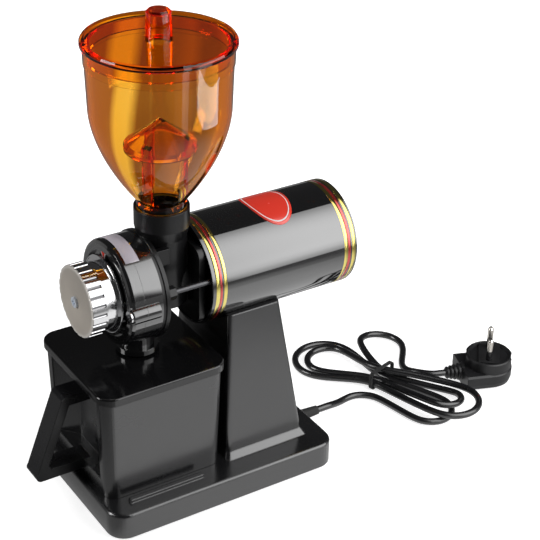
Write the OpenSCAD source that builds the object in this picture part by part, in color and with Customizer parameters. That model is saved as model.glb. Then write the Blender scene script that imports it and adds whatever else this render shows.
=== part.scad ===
// Electric coffee grinder with a bean hopper, a burr head with a grind knob, a motor barrel,
// a column on a plinth, a pull-out grounds box and a mains lead tied in a hank.
// Millimetres, +Z up, the knob and the box handle face -Y. The floor is z = 0.

/* [Base] */
// Width of the plinth
base_w = 136.5; // [128:0.5:150]
// Length of the plinth
base_l = 186.2; // [180:0.1:200]
// Height of the plinth above its feet
base_h = 19.7; // [18:0.1:24]
// Radius of the plinth's upright corners
base_corner = 14; // [10:1:18]
// Rounding of the plinth's top edge
base_edge = 2.5; // [1:0.5:3]
// Wall of the base moulding
base_wall = 3; // [2.5:0.5:4]
// Thickness of the bottom cover
bottom_t = 2; // [1.5:0.5:3]
// Standing height of the rubber feet
foot_h = 1.5; // [1.4:0.1:4]
// Radius of the rubber feet
foot_r = 8; // [6:0.5:9]
// Width of the box rails on the plinth
rail_w = 4; // [3:0.5:6]
// Height of the box rails
rail_h = 2.5; // [1:0.5:4]
// Length of the box rails
rail_l = 59; // [40:1:70]

/* [Column] */
// Width of the column at its foot
col_foot_w = 92; // [86:1:98]
// Length of the column at its foot
col_foot_l = 66.5; // [60:0.5:68]
// Width of the column at its saddle
col_top_w = 68; // [64:1:74]
// Length of the column at its saddle
col_top_l = 42.8; // [38:0.1:50]
// Distance of the column's foot behind the plinth's middle
col_foot_y = 43.75; // [43.5:0.25:48]
// Distance of the column's saddle behind the plinth's middle
col_top_y = 39.9; // [38:0.1:44]
// Height of the saddle's rim above the floor
col_top_z = 135; // [130:1:140]
// Radius of the column's upright corners
col_corner = 3.5; // [2.5:0.5:6]
// Reach of the slope round the column's foot
col_flare = 4.5; // [2:0.5:5]
// Thickness of the saddle under the barrel
saddle_t = 6; // [4:0.5:8]

/* [Switch] */
// Height of the rocker switch above the floor
switch_z = 75; // [60:1:90]
// Height of the switch frame
switch_h = 21; // [20:0.5:24]
// Width of the switch frame
switch_w = 15; // [14.5:0.5:18]
// Depth of the switch behind the column's wall
switch_depth = 14; // [12:0.5:18]
// Tilt of the rocker each way
rocker_tilt = 9; // [6:1:10]

/* [Motor] */
// Height of the barrel's axis above the floor
axis_z = 160.5; // [158:0.5:165]
// Outer radius of the barrel
barrel_r = 39.1; // [38.5:0.1:41]
// Length of the barrel with its rear cap
barrel_l = 121.9; // [120:0.1:130]
// Front rim of the barrel behind the plinth's middle
barrel_front = 2.5; // [1:0.1:4]
// Wall of the barrel
shell_t = 1.5; // [1:0.1:2]
// Depth of the front end bell inside the rim
bell_recess = 3; // [2:0.5:5]
// Thickness of the end bells
bell_t = 4.5; // [3.5:0.5:6]
// Space behind the rear end bell
rear_space = 12.4; // [12:0.1:14]
// Thickness of the rear cap
cap_t = 3; // [2:0.5:4]
// Length of the stator stack
stator_l = 46; // [40:1:48]
// Stator stack in front of the rear end bell
stator_set = 20; // [18:0.5:22]
// Radius of the rotor
rotor_r = 22; // [19:0.5:22.5]
// Air gap between rotor and stator
air_gap = 0.4; // [0.3:0.05:0.8]
// Length of the end windings
winding_l = 9; // [6:0.5:9]
// Bore radius of the bearings
bearing_bore = 7.5; // [7:0.5:8]
// Outer radius of the bearings
bearing_r = 16; // [15.5:0.5:17]
// Width of the bearings
bearing_w = 9; // [8:0.5:10]
// Radius of the cooling fan
fan_r = 32; // [26:1:33]

/* [Grinding head] */
// Neck axis in front of the barrel's rim
neck_reach = 18.5; // [18:0.5:20]
// Outer radius of the hopper collar
collar_r = 19.5; // [18.5:0.1:21]
// Top of the hopper collar above the floor
collar_z = 217.9; // [214:0.1:224]
// Outer radius of the neck below the collar
neck_r = 17.5; // [16:0.5:18]
// Bore radius of the neck
neck_bore = 13; // [10:0.5:13.5]
// Outer radius of the burr drum
drum_r = 38.4; // [38:0.1:39.5]
// Wall of the burr drum
drum_wall = 4.4; // [3:0.1:5]
// Rear face of the flange in front of the barrel's rim
flange_reach = 33.5; // [33:0.5:36]
// Thickness of the flange
flange_t = 3; // [2:0.5:4]
// How far the flange stands out past the drum
flange_lip = 0.9; // [0.8:0.1:3]
// Length of the drum in front of the flange
drum_l = 16; // [15:0.5:18]
// Length of the front cover
cover_l = 10.4; // [10:0.1:13]
// Depth of the recess in the front cover
cover_recess = 2.5; // [1.5:0.5:3]
// Radius of the recess in the front cover
cover_recess_r = 31; // [28.5:0.5:33]
// Wall between the recess and the burr chamber
cover_wall = 3.9; // [3:0.1:5]
// Outer radius of the feed throat
throat_r = 16.5; // [16:0.5:17]
// Bore radius of the feed throat
throat_bore = 14; // [13.5:0.5:14.5]
// Outer radius of the outlet chute
chute_r = 12; // [10:0.5:13]
// Wall of the outlet chute
chute_wall = 2.5; // [2:0.5:3]
// Outer radius of the ring at the chute's end
chute_ring_r = 15.5; // [14.5:0.5:16]
// Height of the ring at the chute's end
chute_ring_h = 4; // [3:0.5:5]
// Chute axis in front of the flange's rear face
chute_reach = 6.5; // [5:0.5:8]
// Lower end of the chute above the box lid
chute_gap = 1.9; // [1.5:0.1:4]
// Outer radius of the burrs
burr_r = 28; // [24:0.5:29]
// Gap between the burr teeth at the rest setting
burr_gap = 0.9; // [0.9:0.05:1.4]
// Height of the burr teeth
tooth_h = 0.6; // [0.4:0.1:0.8]

/* [Knob] */
// Radius of the knob
knob_r = 26; // [24:0.5:28]
// Length of the fluted grip
knob_l = 12; // [10:0.5:18]
// Radius of the smooth collar behind the grip
knob_collar_r = 24.5; // [22:0.5:25]
// Length of the smooth collar
knob_collar_l = 9; // [5:0.5:10]
// Number of flutes
knob_flutes = 24; // [18:2:32]
// Radius of the pointer ring
pointer_r = 28.2; // [26.5:0.1:29]
// Thickness of the pointer ring
pointer_t = 1.5; // [1:0.1:2]
// Radius of the adjuster stem
stem_r = 9; // [8:0.5:11]

/* [Hopper] */
// Outer radius of the bowl at its mouth
bowl_mouth_r = 50.4; // [49:0.1:53]
// Outer radius where the bowl starts to curve in
bowl_waist_r = 48.3; // [46.5:0.1:48.5]
// Height of the mouth above the collar
bowl_h = 117.1; // [112:0.1:124]
// Height above the collar where the bowl starts to curve in
bowl_curve_h = 74.1; // [70:0.1:78]
// Reach of the curve, which sets how quickly the bowl narrows
bowl_curve_reach = 88.3; // [86:0.1:92]
// Wall of the hopper
bowl_wall = 2.5; // [2:0.1:3]
// Height of the thicker band under the mouth
band_h = 12; // [8:1:16]
// How far the band stands out
band_step = 0.6; // [0.3:0.1:1]
// Outer radius of the spigot in the collar
spigot_r = 16.3; // [15.8:0.1:16.8]
// Length of the spigot
spigot_l = 15; // [12:1:18]
// Radius of the guard cone
guard_r = 25.2; // [22:0.2:27]
// Height of the guard cone's rim above the collar
guard_z = 45.5; // [42:0.5:50]
// Height of the guard cone
guard_h = 20; // [16:1:24]
// Outer radius of the lid
lid_r = 52; // [52:0.5:56]
// Thickness of the lid
lid_t = 2.9; // [2:0.1:4]
// Height of the bead round the lid
lid_bead_h = 1.5; // [1:0.1:2.5]
// Width of the bead round the lid
lid_bead_w = 5.5; // [4:0.5:7]
// Depth of the lid's skirt
lid_skirt = 8; // [5:0.5:12]
// Radius of the lid's grip
grip_r = 8.4; // [7:0.2:10]
// Height of the lid's grip above the lid
grip_h = 20.7; // [16:0.1:24]

/* [Grounds box] */
// Width of the box at its foot
box_foot_w = 93.9; // [90:0.1:95]
// Length of the box at its foot
box_foot_l = 92.3; // [90:0.1:93]
// Width of the box at its rim
box_top_w = 97.5; // [96:0.1:97.5]
// Length of the box at its rim
box_top_l = 95.9; // [94:0.1:96]
// Middle of the box in front of the plinth's middle
box_set = 40.95; // [40:0.05:42]
// Height of the box with its lid
box_h = 87.2; // [84:0.1:90]
// Wall of the box
box_wall = 2; // [1.5:0.1:2.5]
// Radius of the box's upright corners
box_corner = 9; // [6:0.5:12]
// Width of the box lid
lid_box_w = 102.3; // [102:0.1:104]
// Length of the box lid
lid_box_l = 100.3; // [100:0.1:101]
// Thickness of the box lid
lid_box_t = 2; // [1.5:0.1:3]
// Depth of the box lid's lip
lid_box_lip = 4; // [3:0.5:6]
// Radius of the hole for the chute in the box lid
lid_hole_r = 14; // [13:0.5:17]
// Depth of the hand pocket in the box front
pocket_d = 12; // [8:0.5:13]
// Width of the hand pocket at the box front
pocket_w = 70; // [60:1:74]
// Width of the hand pocket at its back
pocket_back_w = 39; // [30:1:44]
// Height of the hand pocket's floor above the box foot
pocket_floor = 13; // [12:0.5:18]
// Width of the handle bars
handle_w = 17; // [12:0.5:22]
// Thickness of the handle bars
handle_t = 7.3; // [6:0.1:8]
// Reach of the handle's lower front corner from the plinth's middle
handle_reach = 124.4; // [118:0.1:130]
// Reach of the handle's upper front corner from the plinth's middle
handle_top_reach = 101; // [98:0.5:106]
// Height of the handle's top above the box foot
handle_top = 70; // [64:1:74]
// Height of the handle's underside above the box foot
handle_foot = 5.5; // [4:0.5:5.5]

/* [Cord] */
// Diameter of the mains lead
cord_d = 5.5; // [5:0.1:5.5]
// Sideways place of the cord outlet
outlet_x = 12; // [0:1:20]
// Height of the cord outlet
outlet_z = 8; // [7.5:0.5:10]
// Length of the strain relief outside the plinth
relief_l = 20; // [20:1:30]
// Radius of the plug's head
plug_r = 19.5; // [18:0.5:21]
// Height of the plug's head
plug_h = 24; // [22:0.5:28]
// Length of the plug pins
pin_l = 19; // [15:0.5:20]
// Radius of the plug pins
pin_r = 2.4; // [2:0.1:2.5]

/* [Fits] */
// Running clearance of pins and shafts in their holes
run_fit = 0.05; // [0.02:0.01:0.1]
// Clearance of parts that are pushed together and stay
seat_fit = 0.03; // [0.01:0.01:0.05]
// Clearance of covers and lids at their sides
cover_fit = 0.3; // [0.2:0.05:0.5]
// Gap under pieces that rest on a flat seat
rest_gap = 0.1; // [0.05:0.05:0.2]

/* [Hidden] */
$fn = 64;

black = [0.07, 0.07, 0.08];
dark_grey = [0.2, 0.2, 0.21];
amber = [0.85, 0.45, 0.08, 0.7];
chrome_grey = [0.8, 0.8, 0.82];
steel = [0.62, 0.62, 0.64];
copper = [0.72, 0.4, 0.2];
rubber_black = [0.05, 0.05, 0.05];

hull_fn = 32;
thin = 0.01;
over = 1;

// Heights in the base
base_top = foot_h + base_h;
inside_z = foot_h + bottom_t;
saddle_z = axis_z - barrel_r;
roof_z = saddle_z - saddle_t;
foot_x = base_w / 2 - base_corner;
foot_y = base_l / 2 - base_corner;
post_r = 5;
post_x = foot_x - 0.5;
post_y = foot_y - 24;
post_hole = 1.6;
saddle_screw_x = 10;
saddle_screw_ys = [col_top_y - 12, col_top_y + 1];
saddle_screw_r = 2;
saddle_head_r = 4;
saddle_head_h = 2.4;

// Column walls as straight lines between foot and saddle
function along(z) = (z - base_top) / (col_top_z - base_top);
function col_half(z) = (col_foot_w + (col_top_w - col_foot_w) * along(z)) / 2;
function col_mid(z) = col_foot_y + (col_top_y - col_foot_y) * along(z);
wall_lean = atan((col_foot_w - col_top_w) / 2 / (col_top_z - base_top));

// Places along the barrel's axis, front to back
barrel_rear = barrel_front + barrel_l;
bell_front = barrel_front + bell_recess;
bell_rear = barrel_rear - rear_space;
bearing_set = 3.5;
shell_bore = barrel_r - shell_t;
saddle_screw_l = axis_z - roof_z - sqrt(pow(shell_bore, 2) - pow(saddle_screw_x - saddle_screw_r, 2));
front_bearing_y = bell_front + bearing_set;
rear_bearing_y = bell_rear - bearing_set - bearing_w;
stator_rear = bell_rear - stator_set;
stator_front = stator_rear - stator_l;
winding_gap = 0.5;
shaft_head_r = 6;
shaft_tail_r = 5;
fan_front = bell_rear + 1.5;
fan_l = 5;
bolt_r = 2;
bolt_circle = shell_bore - 3.6;

// Places along the grinding head, back to front
neck_y = barrel_front - neck_reach;
flange_rear = barrel_front - flange_reach;
drum_rear = flange_rear - flange_t;
drum_front = drum_rear - drum_l;
cover_front = drum_front - cover_l;
chamber_r = drum_r - drum_wall;
chamber_front = cover_front + cover_recess + cover_wall;
chute_y = flange_rear - chute_reach;
carrier_gap = 0.5;
carrier_t = 2;
burr_t = 2.7;
fixed_burr_t = 5;
holder_t = 5.5;
carrier_front = drum_rear - carrier_gap - carrier_t;
rotating_front = carrier_front - burr_t;
fixed_rear = rotating_front - 2 * tooth_h - burr_gap;
holder_rear = fixed_rear - fixed_burr_t;
holder_front = holder_rear - holder_t;
boss_r = 6;
boss_at = 37;
boss_l = 10;
rod_r = 2;
rod_x = 33;
rod_rise = 7;
guide_r = 2.5;
guide_x = 22;
burr_bore = 12;
stem_tip_r = 5;

// Places on the knob
pointer_gap = 0.9;
pointer_rear = cover_front - pointer_gap;
pointer_front = pointer_rear - pointer_t;
grip_rear = pointer_front - knob_collar_l;
grip_front = grip_rear - knob_l;
knob_web = 4;
face_t = 0.8;
face_edge = 0.3;
flute_r = 1.3;
flute_set = 0.3;
flute_end = 1;
knob_hole = 2.3;

// Heights on the hopper
mouth_z = collar_z + bowl_h;
curve_z = collar_z + bowl_curve_h;
bowl_power = 1.75;
bowl_steps = 14;
spigot_bore = spigot_r - 2.2;
socket_z = collar_z - spigot_l - 2;
function bowl_r(z) = bowl_waist_r * (1 - pow((curve_z - z) / bowl_curve_reach, bowl_power));
function bowl_z(r) = curve_z - bowl_curve_reach * pow(1 - r / bowl_waist_r, 1 / bowl_power);
bowl_foot_z = bowl_z(spigot_r + 1.2);
lid_z = mouth_z + rest_gap;
guard_rim_z = collar_z + guard_z;
guard_t = 2;

// Heights on the box
box_y = -box_set;
box_z = base_top + rest_gap;
box_top_z = box_z + box_h;
rim_z = box_top_z - lid_box_t;
box_front = box_y - box_foot_l / 2;
pocket_y = box_front + pocket_d;
pocket_z = box_z + pocket_floor;
chute_z = box_top_z + chute_gap;
rail_x = lid_box_w / 2 + 1.3;

// Cord
cord_r = cord_d / 2;
outlet_y = base_l / 2;

function lerp(a, b, t) = a + (b - a) * t;
function unit(v) = v / norm(v);

// A part turned to stand along the barrel's axis, its base at y and its top towards the back
module on_axis(y) {
    translate([0, y, axis_z])
        rotate([-90, 0, 0])
            children();
}

module ring(outer, inner, h) {
    difference() {
        cylinder(r = outer, h = h);
        translate([0, 0, -over])
            cylinder(r = inner, h = h + 2 * over);
    }
}

module rounded_rect(w, l, r) {
    square([w - 2 * r, l], center = true);
    square([w, l - 2 * r], center = true);
    for (x = [-1, 1], y = [-1, 1])
        translate([x * (w / 2 - r), y * (l / 2 - r)])
            circle(r);
}

// A drafted block between two rounded rectangles
module drafted(w0, l0, y0, z0, w1, l1, y1, z1, r) {
    hull() {
        translate([0, y0, z0])
            linear_extrude(thin)
                rounded_rect(w0, l0, r, $fn = hull_fn);
        translate([0, y1, z1 - thin])
            linear_extrude(thin)
                rounded_rect(w1, l1, r, $fn = hull_fn);
    }
}

// A block with upright round corners and a rounded top edge
module soft_block(w, l, h, r, edge) {
    hull() {
        linear_extrude(h - edge)
            rounded_rect(w, l, r, $fn = hull_fn);
        for (x = [-1, 1], y = [-1, 1])
            translate([x * (w / 2 - r), y * (l / 2 - r), h - edge])
                rotate_extrude($fn = hull_fn)
                    translate([r - edge, 0])
                        intersection() {
                            circle(edge, $fn = 24);
                            square(edge);
                        }
    }
}

// A pan-head screw that points along +Z, its head below z = 0, with a cross recess
module pan_screw(r, l, head_r, head_h) {
    slot_w = head_r * 0.3;
    slot_l = head_r * 1.2;
    difference() {
        union() {
            translate([0, 0, -head_h])
                cylinder(r = head_r, h = head_h);
            cylinder(r = r, h = l);
        }
        for (turn = [0, 90])
            rotate(turn)
                translate([-slot_l / 2, -slot_w / 2, -head_h - over])
                    cube([slot_l, slot_w, head_h * 0.6 + over]);
    }
}

// The four places of a pattern that is mirrored in X and Y
module four_corners(x, y) {
    for (sx = [-1, 1], sy = [-1, 1])
        translate([sx * x, sy * y, 0])
            children();
}

module at_saddle_screws() {
    for (x = [-1, 1], y = saddle_screw_ys)
        translate([x * saddle_screw_x, y, 0])
            children();
}

module at_bolts() {
    for (a = [45:90:315])
        rotate(a)
            translate([bolt_circle, 0, 0])
                children();
}

// The switch's own frame: -X out of the column's left wall, Z up along the wall
module on_switch_wall() {
    translate([-col_half(switch_z), col_mid(switch_z), switch_z])
        rotate([0, wall_lean, 0])
            children();
}

switch_frame_t = 2;
switch_body_h = switch_h - 2.2;
switch_body_w = switch_w - 2.2;
rocker_w = switch_w - 4.6;
rocker_half = switch_h / 2 - 2.9;
window_gap = 0.5;
pivot_r = 1.4;
pivot_x = 1;

rail_front = 4;

module base_housing() {
    color(black)
        difference() {
            union() {
                difference() {
                    union() {
                        translate([0, 0, foot_h])
                            soft_block(base_w, base_l, base_h, base_corner, base_edge);
                        column_shell();
                    }
                    plinth_hollow();
                    column_hollow();
                }
                four_corners(post_x, post_y)
                    translate([0, 0, inside_z])
                        cylinder(r = post_r, h = base_top - base_wall - inside_z + over);
                for (side = [-1, 1])
                    translate([side * (rail_x + rail_w / 2) - rail_w / 2, box_y - rail_l / 2 - rail_front,
                        base_top - over])
                        cube([rail_w, rail_l, rail_h + over]);
            }
            four_corners(post_x, post_y)
                translate([0, 0, inside_z - over])
                    cylinder(r = post_hole, h = 13 + over);
            on_axis(col_foot_y - col_foot_l)
                cylinder(r = barrel_r + seat_fit, h = 2 * col_foot_l, $fn = 128);
            at_saddle_screws()
                translate([0, 0, roof_z - over])
                    cylinder(r = saddle_screw_r + cover_fit, h = saddle_t + 2 * over + 3);
            on_switch_wall()
                translate([-over, -switch_body_w / 2 - seat_fit, -switch_body_h / 2 - seat_fit])
                    cube([base_wall + 3 * over, switch_body_w + 2 * seat_fit,
                        switch_body_h + 2 * seat_fit]);
            translate([outlet_x, outlet_y - base_wall - over, outlet_z])
                rotate([-90, 0, 0])
                    cylinder(r = gland_neck_r + seat_fit, h = base_wall + 2 * over);
        }
}

module column_shell() {
    drafted(col_foot_w, col_foot_l, col_foot_y, base_top - over,
        col_top_w, col_top_l, col_top_y, col_top_z, col_corner);
    drafted(col_foot_w + 2 * col_flare, col_foot_l + col_flare, col_foot_y, base_top - over,
        2 * col_half(base_top + col_flare), col_foot_l - over, col_foot_y, base_top + col_flare,
        col_corner);
}

module plinth_hollow() {
    translate([0, 0, foot_h - over])
        soft_block(base_w - 2 * base_wall, base_l - 2 * base_wall, base_h - base_wall + over,
            base_corner - base_wall, base_edge / 2);
}

module column_hollow() {
    drafted(col_foot_w - 2 * base_wall, col_foot_l - 2 * base_wall, col_foot_y, base_top - base_wall - over,
        2 * (col_half(roof_z) - base_wall), lerp(col_foot_l, col_top_l, along(roof_z)) - 2 * base_wall,
        col_mid(roof_z), roof_z, col_corner / 2);
}

bottom_w = base_w - 2 * base_wall - 2 * cover_fit;
bottom_l = base_l - 2 * base_wall - 2 * cover_fit;

module bottom_cover() {
    color(dark_grey)
        difference() {
            translate([0, 0, foot_h])
                linear_extrude(bottom_t)
                    rounded_rect(bottom_w, bottom_l, base_corner - base_wall);
            translate([outlet_x, outlet_y, outlet_z])
                rotate([90, 0, 0])
                    cylinder(r = gland_flange_r + cover_fit, h = base_wall + gland_flange_t + cover_fit);
            four_corners(post_x, post_y)
                cylinder(r = post_hole + cover_fit, h = inside_z + over);
            four_corners(foot_x, foot_y)
                cylinder(r = foot_stem_r + seat_fit, h = inside_z + over);
        }
}

bottom_screw_bite = 11;
bottom_head_r = 3.5;
bottom_head_h = 1.2;

module bottom_screws() {
    color(steel)
        four_corners(post_x, post_y)
            translate([0, 0, foot_h])
                pan_screw(post_hole - seat_fit, bottom_t + bottom_screw_bite, bottom_head_r, bottom_head_h);
}

foot_stem_r = 2.5;

module rubber_feet() {
    color(rubber_black)
        four_corners(foot_x, foot_y) {
            cylinder(r = foot_r, h = foot_h);
            cylinder(r = foot_stem_r, h = inside_z + 1);
        }
}

module switch_housing() {
    color(black)
        on_switch_wall()
            difference() {
                union() {
                    translate([-switch_frame_t, -switch_w / 2, -switch_h / 2])
                        cube([switch_frame_t, switch_w, switch_h]);
                    translate([-thin, -switch_body_w / 2, -switch_body_h / 2])
                        cube([switch_depth, switch_body_w, switch_body_h]);
                }
                translate([-switch_frame_t - over, -rocker_w / 2 - cover_fit,
                    -rocker_half - window_gap - cover_fit])
                    cube([switch_frame_t + over + 7, rocker_w + 2 * cover_fit,
                        2 * (rocker_half + window_gap + cover_fit)]);
                translate([pivot_x, switch_w / 2, 0])
                    rotate([90, 0, 0])
                        cylinder(r = pivot_r + run_fit, h = switch_w);
            }
}

module switch_rocker() {
    color(dark_grey)
        on_switch_wall()
            translate([pivot_x, 0, 0])
                rotate([0, -rocker_tilt, 0])
                    rotate([90, 0, 0]) {
                        translate([0, 0, -rocker_w / 2])
                            linear_extrude(rocker_w)
                                polygon([[-4, rocker_half], [-2.4, 0], [-4, -rocker_half],
                                    [0.6, -rocker_half], [1.6, 0], [0.6, rocker_half]]);
                        translate([0, 0, -switch_body_w / 2 + 0.1])
                            cylinder(r = pivot_r, h = switch_body_w - 0.2);
                    }
}

capacitor_r = 6.5;
capacitor_l = 45;
capacitor_at = [-20, -35, inside_z + rest_gap + capacitor_r];
clip_t = 1.2;
clip_w = 12;

module run_capacitor() {
    color(chrome_grey)
        translate(capacitor_at)
            rotate([0, 90, 0])
                cylinder(r = capacitor_r, h = capacitor_l);
}

// A strap over the capacitor with a foot on each side
module capacitor_clip() {
    strap_r = capacitor_r + seat_fit;
    color(steel)
        translate([capacitor_at[0] + capacitor_l / 2 - clip_w / 2, capacitor_at[1], inside_z])
            rotate([90, 0, 90])
                linear_extrude(clip_w)
                    difference() {
                        union() {
                            translate([0, rest_gap + capacitor_r])
                                circle(strap_r + clip_t);
                            translate([-strap_r - 9, 0])
                                square([2 * strap_r + 18, clip_t]);
                            translate([-strap_r - clip_t, 0])
                                square([2 * (strap_r + clip_t), capacitor_r]);
                        }
                        translate([0, rest_gap + capacitor_r])
                            circle(strap_r);
                        translate([-strap_r, -over])
                            square([2 * strap_r, capacitor_r + over]);
                        translate([-2 * strap_r, -2 * strap_r])
                            square([4 * strap_r, 2 * strap_r]);
                    }
}

module terminal_block() {
    color(chrome_grey)
        translate([20, 62, inside_z])
            difference() {
                translate([-15, -6, 0])
                    cube([30, 12, 11]);
                for (x = [-10, 0, 10])
                    translate([x, 0, 5])
                        cylinder(r = 2, h = 7);
            }
}

gland_neck_r = 4.6;
gland_flange_r = 6;
gland_flange_t = 2;
relief_tip_r = 3.6;

// Bush through the rear wall, with a tapered strain relief behind it
module cord_gland() {
    color(rubber_black)
        translate([outlet_x, outlet_y, outlet_z])
            rotate([-90, 0, 0])
                rotate_extrude()
                    polygon([[0, -base_wall - gland_flange_t],
                        [gland_flange_r, -base_wall - gland_flange_t], [gland_flange_r, -base_wall],
                        [gland_neck_r, -base_wall], [gland_neck_r, 0], [gland_flange_r, 0],
                        [gland_flange_r, gland_flange_t - 0.2], [gland_neck_r, gland_flange_t + 0.2],
                        [relief_tip_r, relief_l], [0, relief_l]]);
}

module saddle_screws() {
    color(steel)
        at_saddle_screws()
            translate([0, 0, roof_z])
                pan_screw(saddle_screw_r, saddle_screw_l, saddle_head_r, saddle_head_h);
}

module motor_shell() {
    color(black)
        difference() {
            on_axis(barrel_front)
                ring(barrel_r, shell_bore, barrel_l - cap_t, $fn = 128);
            at_saddle_screws()
                translate([0, 0, roof_z])
                    cylinder(r = saddle_screw_r + seat_fit, h = saddle_t + 10);
        }
}

// An end bell: disc, bearing hub and holes. Its outer face is at z = 0 and its hub points to +Z.
module end_bell() {
    hub_r = bearing_r + 4;
    hub_l = bearing_set + bearing_w + 2;
    difference() {
        union() {
            cylinder(r = shell_bore - seat_fit, h = bell_t, $fn = 128);
            cylinder(r = hub_r, h = hub_l);
        }
        translate([0, 0, -over])
            cylinder(r = bearing_bore + 1, h = hub_l + 2 * over);
        translate([0, 0, bearing_set])
            cylinder(r = bearing_r, h = hub_l);
        at_bolts()
            translate([0, 0, -over])
                cylinder(r = bolt_r + seat_fit, h = bell_t + 2 * over);
        for (a = [0:60:300])
            rotate(a + 30)
                translate([27.5, 0, -over])
                    cylinder(r = 3.5, h = bell_t + 2 * over);
    }
}

module front_end_bell() {
    color(black)
        difference() {
            on_axis(bell_front)
                end_bell();
            at_head_rods()
                translate([0, 0, -over])
                    cylinder(r = rod_r + seat_fit, h = bell_t + 2 * over);
        }
}

module rear_end_bell() {
    color(steel)
        translate([0, bell_rear, axis_z])
            rotate([90, 0, 0])
                end_bell();
}

// The rear cap closes the barrel and has rows of cooling slots
module rear_cap() {
    slot_w = 3;
    spigot_t = 2.5;
    color(black)
        on_axis(barrel_rear - cap_t)
            difference() {
                union() {
                    cylinder(r = barrel_r, h = cap_t, $fn = 128);
                    translate([0, 0, -4])
                        ring(shell_bore - seat_fit, shell_bore - seat_fit - spigot_t, 4 + thin, $fn = 128);
                }
                for (row = [-3:3])
                    translate([row * 7.5 - slot_w / 2, -sqrt(28 * 28 - pow(row * 7.5, 2)), -over])
                        cube([slot_w, 2 * sqrt(28 * 28 - pow(row * 7.5, 2)), cap_t + 2 * over]);
                translate([0, 0, cap_t - 0.6])
                    ring(barrel_r + over, barrel_r - 1.2, 1, $fn = 128);
            }
}

module stator_core() {
    color(steel)
        on_axis(stator_front)
            difference() {
                cylinder(r = shell_bore - seat_fit, h = stator_l, $fn = 128);
                translate([0, 0, -over])
                    cylinder(r = rotor_r + air_gap, h = stator_l + 2 * over);
                at_bolts()
                    translate([0, 0, -over])
                        cylinder(r = bolt_r + seat_fit, h = stator_l + 2 * over);
            }
}

module stator_windings() {
    color(copper)
        for (y = [stator_front - winding_l, stator_rear])
            on_axis(y)
                ring(bolt_circle - bolt_r - winding_gap, rotor_r + 2, winding_l);
}

module rotor_core() {
    color(steel)
        on_axis(stator_front)
            ring(rotor_r, bearing_bore + seat_fit, stator_l);
}

shaft_tip = rotating_front - 1;

module motor_shaft() {
    color(chrome_grey) {
        on_axis(shaft_tip)
            cylinder(r = shaft_head_r, h = front_bearing_y - shaft_tip);
        on_axis(front_bearing_y)
            cylinder(r = bearing_bore, h = rear_bearing_y + bearing_w - front_bearing_y);
        on_axis(rear_bearing_y + bearing_w)
            cylinder(r = shaft_tail_r, h = fan_front + fan_l - rear_bearing_y - bearing_w);
    }
}

module cooling_fan() {
    blades = 8;
    color(dark_grey)
        on_axis(fan_front)
            difference() {
                union() {
                    cylinder(r = 10, h = fan_l);
                    cylinder(r = fan_r, h = 1.2);
                    for (i = [0:blades - 1])
                        rotate(i * 360 / blades)
                            translate([9, -0.7, 0])
                                cube([fan_r - 10, 1.4, fan_l]);
                }
                translate([0, 0, -over])
                    cylinder(r = shaft_tail_r + seat_fit, h = fan_l + 2 * over);
            }
}

race_t = 2.9;
ball_gap = 0.3;
ball_pitch = (bearing_bore + bearing_r) / 2;
ball_r = (bearing_r - bearing_bore) / 2 - race_t - ball_gap;

module bearing_outer(y) {
    color(steel)
        on_axis(y)
            ring(bearing_r - seat_fit, bearing_r - race_t, bearing_w);
}

module bearing_inner(y) {
    color(chrome_grey)
        on_axis(y)
            ring(bearing_bore + race_t, bearing_bore + seat_fit, bearing_w);
}

module bearing_balls(y) {
    color(chrome_grey)
        on_axis(y + bearing_w / 2)
            for (a = [0:40:320])
                rotate(a)
                    translate([ball_pitch, 0, 0])
                        sphere(ball_r, $fn = 24);
}

module front_bearing_outer() {
    bearing_outer(front_bearing_y);
}

module front_bearing_inner() {
    bearing_inner(front_bearing_y);
}

module front_bearing_balls() {
    bearing_balls(front_bearing_y);
}

module rear_bearing_outer() {
    bearing_outer(rear_bearing_y);
}

module rear_bearing_inner() {
    bearing_inner(rear_bearing_y);
}

module rear_bearing_balls() {
    bearing_balls(rear_bearing_y);
}

module motor_tie_bolts() {
    color(steel)
        on_axis(bell_front)
            at_bolts()
                pan_screw(bolt_r, bell_rear - bell_front, 3.2, 2);
}

// The places of the two rods that tie the head to the motor
module at_head_rods() {
    for (side = [-1, 1])
        translate([side * rod_x, bell_front, axis_z + rod_rise])
            rotate([-90, 0, 0])
                children();
}

module at_bosses() {
    for (side = [-1, 1])
        translate([side * boss_at, 0, 0])
            children();
}

fin_x = 15.5;
fin_w = 4.5;
fin_h = 12;
fin_l = 10;
fin_top = 33.5;
fin_set = 0.5;
plate_t = 5;
plate_w = 56;
plate_h = 60;
plate_corner = 8;
nut_r = 5;
nut_h = 6;
collar_h = 14;
taper_h = 8;
rod_set = 1.5;
chute_top = axis_z - chamber_r + 4;
chute_roof = 1.5;

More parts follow.
